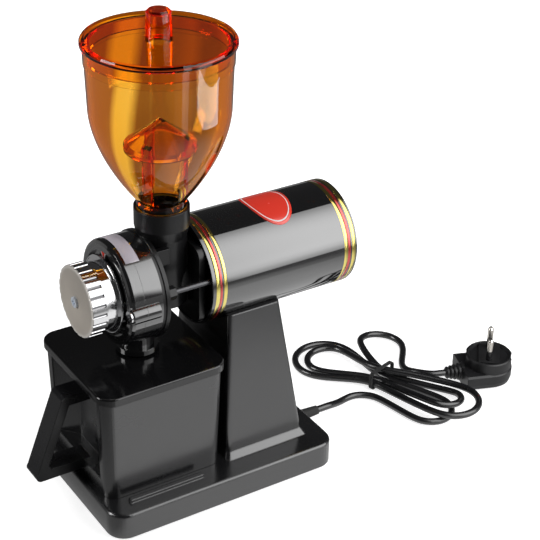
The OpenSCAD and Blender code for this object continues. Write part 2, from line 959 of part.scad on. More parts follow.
// Casting with hopper collar, neck, feed throat, burr drum, flange and outlet chute
module grinder_body() {
    color(black)
        difference() {
            union() {
                translate([0, neck_y, collar_z - collar_h])
                    cylinder(r = collar_r, h = collar_h);
                translate([0, neck_y, collar_z - collar_h - taper_h])
                    cylinder(r1 = neck_r, r2 = collar_r, h = taper_h);
                translate([0, neck_y, axis_z - throat_r])
                    cylinder(r = neck_r, h = collar_z - collar_h - taper_h - axis_z + throat_r);
                on_axis(flange_rear)
                    cylinder(r = throat_r, h = bell_front - flange_rear);
                on_axis(bell_front - bell_recess - plate_t)
                    linear_extrude(plate_t)
                        rounded_rect(plate_w, plate_h, plate_corner);
                on_axis(drum_rear)
                    cylinder(r = drum_r + flange_lip, h = flange_t, $fn = 128);
                on_axis(drum_front)
                    cylinder(r = drum_r, h = drum_l, $fn = 128);
                on_axis(drum_front)
                    at_bosses()
                        cylinder(r = boss_r, h = boss_l);
                translate([fin_x, drum_rear + fin_set, axis_z + fin_top - fin_h])
                    cube([fin_w, flange_t - fin_set + fin_l, fin_h]);
                at_head_rods()
                    translate([0, 0, flange_rear - bell_front])
                        cylinder(r = nut_r, h = nut_h, $fn = 6);
                translate([0, chute_y, chute_z])
                    cylinder(r = chute_r, h = chute_top - chute_z);
            }
            translate([0, neck_y, socket_z])
                cylinder(r = spigot_r + cover_fit, h = collar_z - socket_z + over);
            translate([0, neck_y, axis_z])
                cylinder(r = neck_bore, h = collar_z - axis_z);
            on_axis(drum_rear - over)
                cylinder(r = throat_bore, h = bell_front - drum_rear - 4);
            on_axis(drum_rear - over)
                cylinder(r = bearing_bore + 1, h = bell_front - drum_rear + 2 * over);
            on_axis(drum_front - over)
                cylinder(r = chamber_r, h = drum_l + over, $fn = 128);
            translate([0, chute_y, chute_z - over])
                cylinder(r = chute_r - chute_wall, h = chute_top - chute_roof - chute_z + over);
            on_axis(drum_front - over)
                at_bosses()
                    cylinder(r = post_hole, h = boss_l);
            at_head_rods()
                translate([0, 0, flange_rear - bell_front - rod_set])
                    cylinder(r = rod_r + seat_fit, h = bell_front - flange_rear + rod_set + over);
        }
}

// Ring pushed on the lower end of the chute
module chute_ring() {
    color(black)
        translate([0, chute_y, chute_z])
            ring(chute_ring_r, chute_r + seat_fit, chute_ring_h);
}

module front_cover() {
    color(black)
        difference() {
            union() {
                on_axis(cover_front)
                    rotate_extrude($fn = 128)
                        polygon([[0, 0], [drum_r - 3, 0], [drum_r - 0.9, 0.9], [drum_r, 3],
                            [drum_r, cover_l], [0, cover_l]]);
                on_axis(cover_front)
                    at_bosses()
                        cylinder(r = boss_r, h = cover_l);
            }
            on_axis(cover_front - over)
                cylinder(r = cover_recess_r, h = cover_recess + over);
            on_axis(chamber_front)
                cylinder(r = chamber_r, h = drum_front - chamber_front + over, $fn = 128);
            on_axis(cover_front - over)
                cylinder(r = stem_r + run_fit, h = cover_l + 2 * over);
            on_axis(cover_front - over)
                at_bosses()
                    cylinder(r = post_hole + cover_fit, h = cover_l + 2 * over);
            for (side = [-1, 1])
                on_axis(cover_front)
                    translate([side * guide_x, 0, 0])
                        cylinder(r = guide_r + seat_fit, h = cover_l);
        }
}

cover_screw_short = 2;
cover_head_r = 4.4;
cover_head_h = 1.8;

module cover_screws() {
    color(chrome_grey)
        on_axis(cover_front)
            at_bosses()
                pan_screw(post_hole - seat_fit, cover_l + boss_l - cover_screw_short,
                    cover_head_r, cover_head_h);
}

module head_tie_rods() {
    color(chrome_grey)
        at_head_rods()
            translate([0, 0, flange_rear - bell_front - rod_set])
                cylinder(r = rod_r, h = bell_front - flange_rear + rod_set + bell_t);
}

auger_l = 26;

// Feed screw: a core on the shaft with one turn of a two-start flight
module feed_auger() {
    color(steel)
        on_axis(flange_rear + 1)
            difference() {
                union() {
                    cylinder(r = shaft_head_r + 2, h = auger_l);
                    linear_extrude(auger_l, twist = -400, slices = 44)
                        square([2 * throat_bore - 3, 4], center = true);
                }
                translate([0, 0, -over])
                    cylinder(r = shaft_head_r + seat_fit, h = auger_l + 2 * over);
            }
}

module burr_carrier() {
    color(steel)
        on_axis(carrier_front)
            difference() {
                union() {
                    cylinder(r = burr_r - 4, h = carrier_t);
                    cylinder(r = shaft_head_r + 2, h = flange_rear + 1 - carrier_front);
                }
                translate([0, 0, -over])
                    cylinder(r = shaft_head_r + seat_fit, h = flange_rear + 4 - carrier_front);
            }
}

// Radial ridges on a burr face, between the bore and the rim
module burr_teeth(count) {
    for (i = [0:count - 1])
        rotate(i * 360 / count)
            translate([burr_bore + 0.6, -0.5, 0])
                cube([burr_r - burr_bore - 1.2, 1, tooth_h + thin]);
}

module rotating_burr() {
    color(steel) {
        on_axis(rotating_front)
            ring(burr_r, burr_bore, burr_t);
        on_axis(rotating_front - tooth_h)
            burr_teeth(24);
    }
}

module fixed_burr() {
    color(steel) {
        on_axis(holder_rear)
            ring(burr_r, burr_bore, fixed_burr_t);
        on_axis(fixed_rear - thin)
            burr_teeth(24);
    }
}

module burr_holder() {
    color(dark_grey)
        on_axis(holder_front)
            difference() {
                cylinder(r = burr_r + 2, h = holder_t);
                translate([0, 0, -over])
                    cylinder(r = stem_tip_r + run_fit, h = holder_t + 2 * over);
                for (side = [-1, 1])
                    translate([side * guide_x, 0, -over])
                        cylinder(r = guide_r + run_fit, h = holder_t + 2 * over);
            }
}

module guide_pins() {
    color(chrome_grey)
        for (side = [-1, 1])
            on_axis(cover_front + cover_recess)
                translate([side * guide_x, 0, 0])
                    cylinder(r = guide_r, h = holder_rear - cover_front - cover_recess - 1);
}

stem_front = grip_front + face_t + knob_web;

module adjuster_stem() {
    color(steel)
        difference() {
            union() {
                on_axis(stem_front)
                    cylinder(r = stem_r, h = holder_front - 0.2 - stem_front);
                on_axis(holder_front - 0.2 - thin)
                    cylinder(r = stem_tip_r, h = holder_t);
            }
            on_axis(stem_front - over)
                cylinder(r = 2, h = 10 + over);
        }
}

// The grooves round the grip
module flutes(h) {
    for (i = [0:knob_flutes - 1])
        rotate(i * 360 / knob_flutes)
            translate([knob_r + flute_set, 0, -over])
                cylinder(r = flute_r, h = h + over, $fn = 24);
}

module knob() {
    color(chrome_grey)
        on_axis(grip_front + face_t)
            difference() {
                union() {
                    cylinder(r = knob_r, h = knob_l - face_t, $fn = 96);
                    translate([0, 0, knob_l - face_t - thin])
                        cylinder(r = knob_collar_r, h = knob_collar_l + thin, $fn = 96);
                }
                translate([0, 0, -over])
                    cylinder(r = knob_hole, h = knob_web + 2 * over);
                translate([0, 0, knob_web])
                    cylinder(r = knob_collar_r - 3, h = knob_l + knob_collar_l);
                flutes(knob_l - face_t - flute_end);
            }
}

// Plate on the knob's front, with the outline of the grip
module knob_face() {
    color(steel)
        on_axis(grip_front)
            difference() {
                cylinder(r = knob_r - face_edge, h = face_t, $fn = 96);
                translate([0, 0, -over])
                    cylinder(r = knob_hole, h = face_t + 2 * over);
                flutes(face_t + over);
            }
}

module knob_screw() {
    color(chrome_grey)
        on_axis(grip_front)
            pan_screw(2 - seat_fit, 10, 4, 1.6);
}

// Thin ring behind the knob, with a pointed nub at its right side
module pointer_ring() {
    color(chrome_grey)
        on_axis(pointer_front)
            linear_extrude(pointer_t)
                difference() {
                    union() {
                        circle(pointer_r, $fn = 96);
                        rotate(14)
                            translate([pointer_r - 0.8, 0])
                                polygon([[0, -2.4], [3.4, 0], [0, 2.4]]);
                    }
                    circle(stem_r + seat_fit);
                }
}

// Outline points of the bowl's curved part, from its foot up, moved in by a wall
function bowl_curve(inset) = [for (i = [0:bowl_steps])
    let (z = lerp(bowl_foot_z, curve_z, i / bowl_steps)) [bowl_r(z) - inset, z]];

// The room inside the bowl, with a little spare
module bowl_room(spare) {
    translate([0, neck_y, 0])
        rotate_extrude($fn = 96)
            polygon(concat([[0, bowl_foot_z]], bowl_curve(bowl_wall + spare),
                [[bowl_mouth_r - bowl_wall - spare, mouth_z], [0, mouth_z]]));
}

module hopper() {
    band_z = mouth_z - band_h;
    band_r = lerp(bowl_waist_r, bowl_mouth_r - band_step, (band_z - curve_z) / (mouth_z - curve_z));
    color(amber)
        translate([0, neck_y, 0])
            rotate_extrude($fn = 96)
                polygon(concat(
                    [[spigot_bore, collar_z - spigot_l], [spigot_r, collar_z - spigot_l],
                        [spigot_r, collar_z + rest_gap], [spigot_r + 1.2, collar_z + rest_gap]],
                    bowl_curve(0),
                    [[band_r, band_z], [band_r + band_step, band_z], [bowl_mouth_r, mouth_z],
                        [bowl_mouth_r - bowl_wall, mouth_z]],
                    [for (i = [bowl_steps:-1:0]) bowl_curve(bowl_wall)[i]],
                    [[spigot_bore, bowl_foot_z - 2]]));
}

leg_w = 7;
leg_t = 3;
leg_top_gap = 0.4;
leg_at = 15.5;

// Cone over the throat on three legs that stand on the bowl
module hopper_guard() {
    color(amber) {
        translate([0, neck_y, guard_rim_z])
            rotate_extrude($fn = 96)
                polygon([[0, guard_h], [0, guard_h - guard_t], [guard_r - 2 * guard_t, guard_t - 1],
                    [guard_r - guard_t, -2], [guard_r, -2], [guard_r, 0.8]]);
        intersection() {
            bowl_room(0.1);
            for (a = [60:120:300])
                translate([0, neck_y, 0])
                    rotate(a)
                        translate([leg_at, -leg_w / 2, collar_z])
                            cube([leg_t, leg_w,
                                guard_z + guard_h * (1 - (leg_at + leg_t) / guard_r) - leg_top_gap]);
        }
    }
}

module hopper_lid() {
    bead_mid = lid_r - lid_bead_w / 2;
    skirt_r = bowl_mouth_r - bowl_wall - 2 * cover_fit;
    color(amber)
        translate([0, neck_y, lid_z])
            difference() {
                union() {
                    rotate_extrude($fn = 128)
                        polygon([[0, 0], [lid_r - 0.8, 0], [lid_r, 0.8], [lid_r, lid_t],
                            [lid_r - 0.8, lid_t + lid_bead_h - 0.3], [bead_mid + 0.6, lid_t + lid_bead_h],
                            [bead_mid - 0.6, lid_t + lid_bead_h], [lid_r - lid_bead_w, lid_t], [0, lid_t]]);
                    translate([0, 0, -lid_skirt])
                        ring(skirt_r, skirt_r - 2, lid_skirt + thin, $fn = 96);
                    rotate_extrude()
                        polygon([[0, lid_t - thin], [grip_r + 0.9, lid_t - thin],
                            [grip_r, lid_t + grip_h - 1.5],
                            [grip_r - 1.5, lid_t + grip_h], [0, lid_t + grip_h]]);
                }
                translate([0, 0, -over])
                    cylinder(r1 = grip_r - 1.4, r2 = grip_r - 2.4, h = lid_t + grip_h - 1.8);
            }
}

// The hand pocket's room in the box front, grown by a wall
module pocket_room(grow) {
    translate([0, 0, pocket_z - grow])
        linear_extrude(box_h)
            polygon([[-pocket_w / 2 - grow * 1.6, box_front - 5], [-pocket_w / 2 - grow * 1.6, box_front],
                [-pocket_back_w / 2 - grow, pocket_y + grow], [pocket_back_w / 2 + grow, pocket_y + grow],
                [pocket_w / 2 + grow * 1.6, box_front], [pocket_w / 2 + grow * 1.6, box_front - 5]]);
}

// The box's outer form with its hand pocket
module box_form() {
    difference() {
        drafted(box_foot_w, box_foot_l, box_y, box_z, box_top_w, box_top_l, box_y, rim_z, box_corner);
        pocket_room(0);
    }
}

module grounds_box() {
    color(black)
        difference() {
            box_form();
            difference() {
                drafted(box_foot_w - 2 * box_wall, box_foot_l - 2 * box_wall, box_y, box_z + box_wall,
                    box_top_w - 2 * box_wall, box_top_l - 2 * box_wall, box_y, rim_z + over,
                    box_corner - box_wall);
                pocket_room(box_wall);
            }
        }
}

module box_lid() {
    lip_clear = 2 * cover_fit;
    color(black)
        difference() {
            translate([0, box_y, rim_z - lid_box_lip])
                soft_block(lid_box_w, lid_box_l, lid_box_lip + lid_box_t, box_corner + 3, 1.2);
            translate([0, box_y, rim_z - lid_box_lip - over])
                linear_extrude(lid_box_lip + over)
                    rounded_rect(box_top_w + lip_clear, box_top_l + lip_clear, box_corner);
            translate([0, chute_y, rim_z - over])
                cylinder(r = lid_hole_r, h = lid_box_t + 2 * over);
        }
}

// A loop of flat bars, seen from the side as a leaning trapezium
module box_handle() {
    top_z = box_z + handle_top;
    foot_z = box_z + handle_foot;
    round_r = 4;
    slope = (handle_reach - handle_top_reach) / (top_z - foot_z - round_r);
    hole_rise = 1;
    hole_cut = 3;
    hole_top = top_z - handle_t;
    hole_foot = foot_z + handle_t + hole_rise;
    hole_front = handle_reach - handle_t;
    hole_drop = hole_foot - foot_z - round_r;
    color(black)
        difference() {
            translate([handle_w / 2, 0, 0])
                rotate([90, 0, -90])
                    linear_extrude(handle_w)
                        difference() {
                            union() {
                                polygon([[-pocket_y, foot_z], [handle_reach - round_r, foot_z],
                                    [handle_reach, foot_z + round_r], [handle_top_reach + 1, top_z - 2],
                                    [handle_top_reach - 1.5, top_z], [-pocket_y, top_z]]);
                                translate([handle_reach - round_r, foot_z + round_r])
                                    circle(round_r);
                            }
                            polygon([[-pocket_y - over, hole_foot - hole_rise],
                                [hole_front - slope * hole_drop - hole_cut, hole_foot],
                                [hole_front - slope * (hole_drop + hole_cut), hole_foot + hole_cut],
                                [hole_front - slope * (hole_top - foot_z - round_r), hole_top],
                                [-pocket_y - over, hole_top]]);
                        }
            box_form();
        }
}

// Route of the mains lead, chosen by hand: out of the strain relief, down to the floor and to the hank
lead_start = [outlet_x, outlet_y + relief_l, outlet_z];
lead_points = [lead_start, lead_start + [0, 6, 0], lead_start + [0, 12, 0], [8, 136, 4], [5, 145, 2.9],
    [4, 153, 2.9], [7, 161, 2.9], [14, 168, 2.9], [25, 171, 2.9]];
// From the last loop round to the plug, and straight into it
plug_at = [23, 232, 9];
plug_turn = 70;
plug_way = [cos(plug_turn), sin(plug_turn), 0];
tail_points = [[-15, 216, 3], [-4, 210.5, 4], [8, 212.5, 8],
    plug_at - 12 * plug_way, plug_at - 6 * plug_way,
    plug_at];

// Loops of the hank: heading, reach, loop radius, turning way,
// and height going out, at the tip and coming back
loops = [[10, 71, 18, 1, 2.9, 2.9, 2.9], [205, 78, 25.5, 1, 2.9, 2.9, 2.9], [24, 86, 23, 1, 9.8, 9, 8],
    [204, 68, 17.5, 1, 5, 2.9, 2.9], [24, 71, 16.5, 1, 14, 10, 3.5], [144, 69, 18, -1, 8, 3.5, 2.9]];
loop_angles = [-105, -63, -21, 21, 63, 105];
// The curve runs inside its points, so the points of a loop lie on a wider circle
loop_grow = 6 / (4 + 2 * cos(42));
waist = [-2, 186, 4.6];
waist_turn = 16;
// Place of each strand left and right of the tie, and its row in the tie
strands = [[3, 3, 0], [-9.5, -9.5, 0], [-2, 10, 1], [-3, -3, 0], [9, 9, 0]];
strand_rise = 6.8;
strand_span = 10;
tie_l = 3;

function turned(v, a) = [v[0] * cos(a) - v[1] * sin(a), v[0] * sin(a) + v[1] * cos(a), v[2]];
function strand_at(i, x) = waist + turned([x, lerp(strands[i][0], strands[i][1], (x / strand_span + 1) / 2),
    strand_rise * strands[i][2]], waist_turn);
function loop_height(row, a) = a < 0 ? lerp(row[5], row[4], -a / 105) : lerp(row[5], row[6], a / 105);
function loop_points(row) = [for (a = loop_angles)
    [waist[0], waist[1], 0] + turned([row[1] - row[2] + loop_grow * row[2] * cos(a),
        row[3] * loop_grow * row[2] * sin(a), loop_height(row, a)], row[0])];
function side_of(i) = i % 2 == 0 ? 1 : -1;
function hank_points() = [for (i = [0:len(loops) - 1])
    each concat(i > 0 ? [strand_at(i - 1, side_of(i) * strand_span)] : [], loop_points(loops[i]),
        i < len(loops) - 1 ? [strand_at(i, side_of(i) * strand_span)] : [])];

// A smooth curve guided by points, from the first to the last, with a number of steps for each point
function curve_step(a, b, c, d, t) = (pow(1 - t, 3) * a + (3 * pow(t, 3) - 6 * t * t + 4) * b
    + (3 * t * t + 3 * t + 1 - 3 * pow(t, 3)) * c + pow(t, 3) * d) / 6;
function guide(pts, i) = i < 0 ? 2 * pts[0] - pts[1]
    : i < len(pts) ? pts[i] : 2 * pts[len(pts) - 1] - pts[len(pts) - 2];
function smooth(pts, steps) = [for (i = [0:len(pts) - 2], s = [0:steps - 1])
    curve_step(guide(pts, i - 1), pts[i], pts[i + 1], guide(pts, i + 2), s / steps)];

cord_steps = 3;
cord_points = concat(lead_points, hank_points(), tail_points);
cord_path = concat(smooth(cord_points, cord_steps), [plug_at]);
hank_from = cord_steps * (len(lead_points) - 1);
hank_to = len(cord_path) - 1 - cord_steps * len(tail_points);
function way_at(path, i) = unit(path[min(i + 1, len(path) - 1)] - path[max(i - 1, 0)]);

// A tube swept along part of the cord, level from side to side
module cord_tube(from, to, sides) {
    rings = [for (i = [from:to])
        let (way = way_at(cord_path, i), across = unit(cross(way, [0, 0, 1])), up = cross(across, way))
        [for (k = [0:sides - 1]) cord_path[i]
            + cord_r * (across * cos(k * 360 / sides) + up * sin(k * 360 / sides))]];
    last = to - from;
    polyhedron(
        points = [for (one = rings) each one],
        faces = concat(
            [[for (k = [0:sides - 1]) k]],
            [for (i = [0:last - 1], k = [0:sides - 1])
                let (a = i * sides + k, b = i * sides + (k + 1) % sides)
                each [[a, a + sides, b], [b, a + sides, b + sides]]],
            [[for (k = [sides - 1:-1:0]) last * sides + k]]));
}

function run_length(path) = [for (i = 0, s = 0; i < len(path); i = i + 1,
    s = s + (i < len(path) ? norm(path[i] - path[i - 1]) : 0)) s];
fine_path = concat(smooth(cord_points, 12), [plug_at]);
fine_run = run_length(fine_path);
near = 5 * cord_d;
least_gap = min([for (i = [0:len(fine_path) - 1])
    min(concat([1000], [for (j = [i + 1:len(fine_path) - 1])
        if (fine_run[j] - fine_run[i] > near) norm(fine_path[i] - fine_path[j])]))]) - cord_d;
echo(cord_length = fine_run[len(fine_run) - 1], least_gap = least_gap);

module cord_lead() {
    color(rubber_black)
        cord_tube(0, hank_from, 8);
}

module cord_hank() {
    color(rubber_black)
        cord_tube(hank_from, hank_to, 6);
}

module cord_tail() {
    color(rubber_black)
        cord_tube(hank_to, len(cord_path) - 1, 8);
}

// A strap round the strands at the hank's waist
module cord_tie() {
    strap_t = 1.2;
    spare = 0.7;
    spread = 2 * max([for (row = strands) max(abs(row[0]), abs(row[1]))]);
    inner_w = spread + cord_d + 2 * spare;
    inner_h = strand_rise + cord_d + 2 * spare;
    corner = cord_r + spare / 2;
    color(rubber_black)
        translate(waist + [0, 0, strand_rise / 2])
            rotate([0, 0, waist_turn])
                rotate([90, 0, 90])
                    translate([0, 0, -tie_l / 2])
                        linear_extrude(tie_l)
                            difference() {
                                rounded_rect(inner_w + 2 * strap_t, inner_h + 2 * strap_t,
                                    corner + strap_t);
                                rounded_rect(inner_w, inner_h, corner);
                            }
}

// The plug's own frame: +X the way the cord goes in, z = 0 on the floor
module at_plug() {
    translate([plug_at[0], plug_at[1], 0])
        rotate([0, 0, plug_turn])
            children();
}

plug_head_x = 36.5;
slab_h = 14.5;
slab_start = 13;
boot_l = 13;
boot_ribs = 4;
rib_pitch = 3.1;
rib_r = 5;
rib_grow = 0.7;
pin_gap = 9.5;
pin_turn = -110;
pin_set = 6;
face_r = 17.2;
face_depth = 2.5;
pad_w = 17;
pad_l = 28;
notch_w = 9;
notch_in = 2.2;
notch_h = 7;

// Boot of the plug: ribs that grow towards the slab, along +Z
module plug_boot() {
    groove = 1;
    rotate_extrude($fn = 48)
        polygon(concat([[0, 0], [cord_r + 0.9, 0]],
            [for (i = [0:boot_ribs - 1])
                let (r = rib_r + rib_grow * i, at = rib_pitch * i)
                each [[r - 0.6, at + 0.6], [r, at + 1.2], [r, at + rib_pitch - groove],
                    [r - groove, at + rib_pitch - groove], [r - groove, at + rib_pitch]]],
            [[rib_r + rib_grow * boot_ribs, boot_l + 2], [0, boot_l + 2]]));
}

// Half of the slab's cross-section: rounded under, bevelled above
slab_edge = [[0, 0.1], [plug_r - 4, 0.1], [plug_r - 1, 2.5], [plug_r, 6], [plug_r, slab_h - 1.5],
    [plug_r - 1.5, slab_h], [0, slab_h]];

// Angled plug that lies on its back: ribbed boot, slab and round head
module plug_body() {
    color(dark_grey)
        at_plug()
            difference() {
                union() {
                    translate([0, 0, plug_at[2]])
                        rotate([0, 90, 0])
                            plug_boot();
                    translate([slab_start, 0, 0])
                        rotate([90, 0, 90])
                            linear_extrude(plug_head_x - slab_start)
                                polygon(concat(slab_edge, [for (i = [len(slab_edge) - 2:-1:1])
                                    [-slab_edge[i][0], slab_edge[i][1]]]));
                    translate([plug_head_x, 0, 0])
                        rotate_extrude()
                            polygon(slab_edge);
                    translate([plug_head_x, 0, slab_h - 2])
                        rotate_extrude()
                            polygon([[0, 0], [plug_r - 1, 0], [plug_r - 0.4, plug_h - slab_h + 1],
                                [plug_r - 1.2, plug_h - slab_h + 2], [0, plug_h - slab_h + 2]]);
                }
                translate([plug_head_x, 0, 0])
                    difference() {
                        translate([0, 0, plug_h - face_depth])
                            cylinder(r1 = face_r - 1.5, r2 = face_r, h = face_depth + thin);
                        rotate(pin_turn)
                            translate([-pad_l / 2, -pad_w / 2, 0])
                                cube([pad_l, pad_w, plug_h - 0.3]);
                    }
                for (side = [0, 180])
                    translate([plug_head_x, 0, 0])
                        rotate(pin_turn + 90 + side)
                            translate([plug_r - notch_in, -notch_w / 2, plug_h - notch_h])
                                cube([notch_in + 2, notch_w, notch_h + over]);
                translate([plug_head_x, 0, 0])
                    at_pins()
                        translate([0, 0, plug_h - pin_set])
                            cylinder(r = pin_r + seat_fit, h = pin_set + over);
            }
}

module at_pins() {
    for (side = [-1, 1])
        rotate(pin_turn)
            translate([side * pin_gap, 0, 0])
                children();
}

module plug_pins() {
    color(chrome_grey)
        at_plug()
            translate([plug_head_x, 0, 0])
                at_pins()
                    translate([0, 0, plug_h - pin_set])
                        rotate_extrude()
                            polygon([[0, 0], [pin_r, 0], [pin_r, pin_l + pin_set - 2],
                                [pin_r * 0.55, pin_l + pin_set], [0, pin_l + pin_set]]);
}

base_housing();
bottom_cover();
bottom_screws();
rubber_feet();
switch_housing();
switch_rocker();
run_capacitor();
capacitor_clip();
terminal_block();
cord_gland();
saddle_screws();
motor_shell();
front_end_bell();
rear_end_bell();
rear_cap();
stator_core();
stator_windings();
rotor_core();
motor_shaft();
cooling_fan();
front_bearing_outer();
front_bearing_inner();
front_bearing_balls();
rear_bearing_outer();
rear_bearing_inner();
rear_bearing_balls();
motor_tie_bolts();
grinder_body();
chute_ring();
front_cover();
cover_screws();
head_tie_rods();
feed_auger();
burr_carrier();
rotating_burr();
fixed_burr();
burr_holder();
guide_pins();
adjuster_stem();
knob();
knob_face();
knob_screw();
pointer_ring();
hopper();
hopper_guard();
hopper_lid();
grounds_box();
box_lid();
box_handle();
cord_lead();
cord_hank();
cord_tail();
cord_tie();
plug_body();
plug_pins();
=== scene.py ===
"""Looks for an electric coffee grinder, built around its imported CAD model."""

import math

import bmesh
import bpy
from bpy.props import FloatProperty, FloatVectorProperty, PointerProperty
from mathutils import Matrix, Vector


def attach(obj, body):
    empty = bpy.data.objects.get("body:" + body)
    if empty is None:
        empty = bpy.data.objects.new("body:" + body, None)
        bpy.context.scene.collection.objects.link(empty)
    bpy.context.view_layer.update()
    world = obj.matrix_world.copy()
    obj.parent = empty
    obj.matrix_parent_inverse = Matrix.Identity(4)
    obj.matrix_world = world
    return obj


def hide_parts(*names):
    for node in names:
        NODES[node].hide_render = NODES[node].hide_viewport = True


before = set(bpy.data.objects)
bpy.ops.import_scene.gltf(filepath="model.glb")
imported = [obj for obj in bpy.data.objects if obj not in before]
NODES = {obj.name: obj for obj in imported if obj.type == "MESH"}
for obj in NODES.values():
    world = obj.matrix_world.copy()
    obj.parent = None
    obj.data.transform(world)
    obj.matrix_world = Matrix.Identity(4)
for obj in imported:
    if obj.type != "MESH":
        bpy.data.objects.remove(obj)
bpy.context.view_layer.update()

bl_info = {
    "name": "Coffee grinder looks",
    "version": (1, 0, 0),
    "blender": (4, 5, 0),
    "location": "View3D > Sidebar > Grinder",
    "description": "Dresses the packed coffee grinder with its finishes, trim, lead and studio",
    "category": "Object",
}

MM = 0.001
WELD_REACH = 1e-7

# Places on the grinder, in millimetres, as in the part's source
AXIS_Z = 160.5
BARREL_R = 39.1
DRUM_R = 38.4
COVER_FLOOR = -57.9

# Where finishes, painted shade and a painted highlight change on one solid, in millimetres. A groove's edge
# is a share of the way between ribs
HEAD_SATIN_Y = -36.5
HEAD_SATIN_STEP = 0.4
FLUTES = 24
# Painted shade in the knob's grooves: where it fades out, and its grey
GROOVE_EDGE = (0.05, 0.19)
GROOVE_SHADE = (0.13, 0.13, 0.135)
RIBS_END = -73.0
RIBS_STEP = 0.5
# Painted highlight round the knob plate's rim: where it starts and ends, its strength and its colour
PLATE_RIM = (22.5, 25.2)
PLATE_HIGHLIGHT_SHARE = 0.8
PLATE_HIGHLIGHT_COLOUR = (0.80, 0.77, 0.72)
SLEEVE_TOP = 32.0
SLEEVE_STEP = 0.3
SLEEVE_BLACK = (0.012, 0.012, 0.013)

# The hopper's bowl: radii, heights and the law of its curve
HOPPER_Y = -16.0
COLLAR_TOP = 217.9
REST_GAP = 0.1
SPIGOT_FOOT = 202.9
SPIGOT_R = 16.3
SPIGOT_BORE = 14.1
BORE_DROP = 2.0
BOWL_FOOT_R = 17.5
BOWL_WAIST_R = 48.3
BOWL_WAIST_Z = 292.0
BOWL_REACH = 88.3
BOWL_POWER = 1.75
BOWL_WALL = 2.5
BOWL_BAND_Z = 323.0
BOWL_BAND_R = 49.38
BOWL_BAND_STEP = 0.6
BOWL_MOUTH_R = 50.4
BOWL_MOUTH_Z = 335.0
BOWL_STEPS = 48
BOWL_SIDES = 192
BOWL_CORNER = 30

# Trim: where it lies, how far it sinks into the metal and how far it stands above it
LINES = {
    "front": ((5.0, 8.1, "yellow"), (8.1, 10.2, "red"), (11.2, 14.0, "yellow")),
    "rear": ((112.9, 116.0, "yellow"), (116.0, 118.4, "red"), (119.5, 122.6, "yellow")),
}
LINE_SINK = 0.3
LINE_RISE = 0.06
RING_STEPS = 128
BADGE_Y = 68.0
BADGE_SINK = 0.2
BADGE_STEPS = 72
BADGE_RINGS = 12
# Outer and inner share of the oval, rise and finish
BADGE_LAYERS = {"badge_field": (1.0, 0.0, 0.10, "badge_red"), "badge_line": (0.90, 0.86, 0.14, "label_white")}
STRIP_Y = (-55.6, -45.3)
STRIP_TURN = (56, 118)
STRIP_SINK = 0.2
STRIP_RISE = 0.1
STRIP_STEPS = 48
BEAD_Y = -62.8
BEAD_R = 27.8
BEAD_THICK = 0.55
BEAD_SIDES = 12
MARK_MIDDLE = Vector((-7.4, 0, 186.6))
MARK_CORNERS = ((-12.0, 189.2), (-3.4, 190.0), (-6.8, 181.6))
MARK_SINK = 0.2
# Share of the full size, rise and finish
MARK_LAYERS = {"grind_mark_edge": (1.0, 0.15, "label_white"), "grind_mark": (0.62, 0.25, "badge_red")}

# Camera fitted to the photograph, its place in millimetres
CAMERA_LENS = 103.68
CAMERA_SENSOR = 36.0
CAMERA_AT = Vector((835.01, -469.72, 709.40))
CAMERA_RIGHT = Vector((0.5356, 0.8442, 0.0208))
CAMERA_BACK = Vector((0.7276, -0.4738, 0.4962))

# Studio, in metres. A fade is a start, an end, and the levels at both
PANEL_LOW = (0.52, 0.02)
PANEL_HIGH = (0.07, 1.05)
PANEL_ALONG = (0.02, 0.95)
PANEL_BRIGHT = 3.1
PANEL_GAP_SLOPE = (0, 1, 0.68)
PANEL_GAP = (0.26, 0.32, 0.04, 1.0)
PANEL_GAP_END = (0.10, 0.115, 1.0, 0.0)
PANEL_TOP = (0.42, 1.05, 1.0, 0.40)
PANEL_FOOT = (0.02, 0.22, 0.40, 1.0)
PANEL_FRONT = (0.10, 0.34, 0.74, 1.0)
FLOOR_HALF = 4000
FLOOR_TONE = (0.7, 0.7, 0.7, 1)
FLOOR_LIFT = (0.25, 0.62, 0.75, 1.0)
POOL_AT = (0.14, 0.06, 0)
POOL_REACH = (0.10, 0.40, 0.90, 0.20)
POOL_FRONT = (-0.105, -0.085, 0.42, 1.0)
POOL_LEFT = (-0.16, -0.06, 0.22, 0.0)
FLATS_WAY = (0.5356, 0.8442, 0)
FLATS_SPAN = (-0.30, 0.08, 0.0, 1.0)
PALE = (1.0, 1.0, 1.0)
WARM = (1.0, 0.57, 0.46)
# Place across the span, level and colour
FLATS_STOPS = (
    (0.0, 0.6, WARM), (0.16, 0.38, WARM), (0.395, 0.36, WARM), (0.44, 1.0, PALE), (0.505, 1.0, PALE),
    (0.55, 0.26, WARM), (0.67, 0.28, WARM), (0.73, 0.40, WARM), (0.78, 0.22, WARM), (0.87, 0.22, WARM),
    (1.0, 0.5, WARM))
ROOM_LEVEL = 0.03
ROOM_THROUGH = (0.05, 0.35, 0.6, 0.06)


# Sizes and colours that a user would change


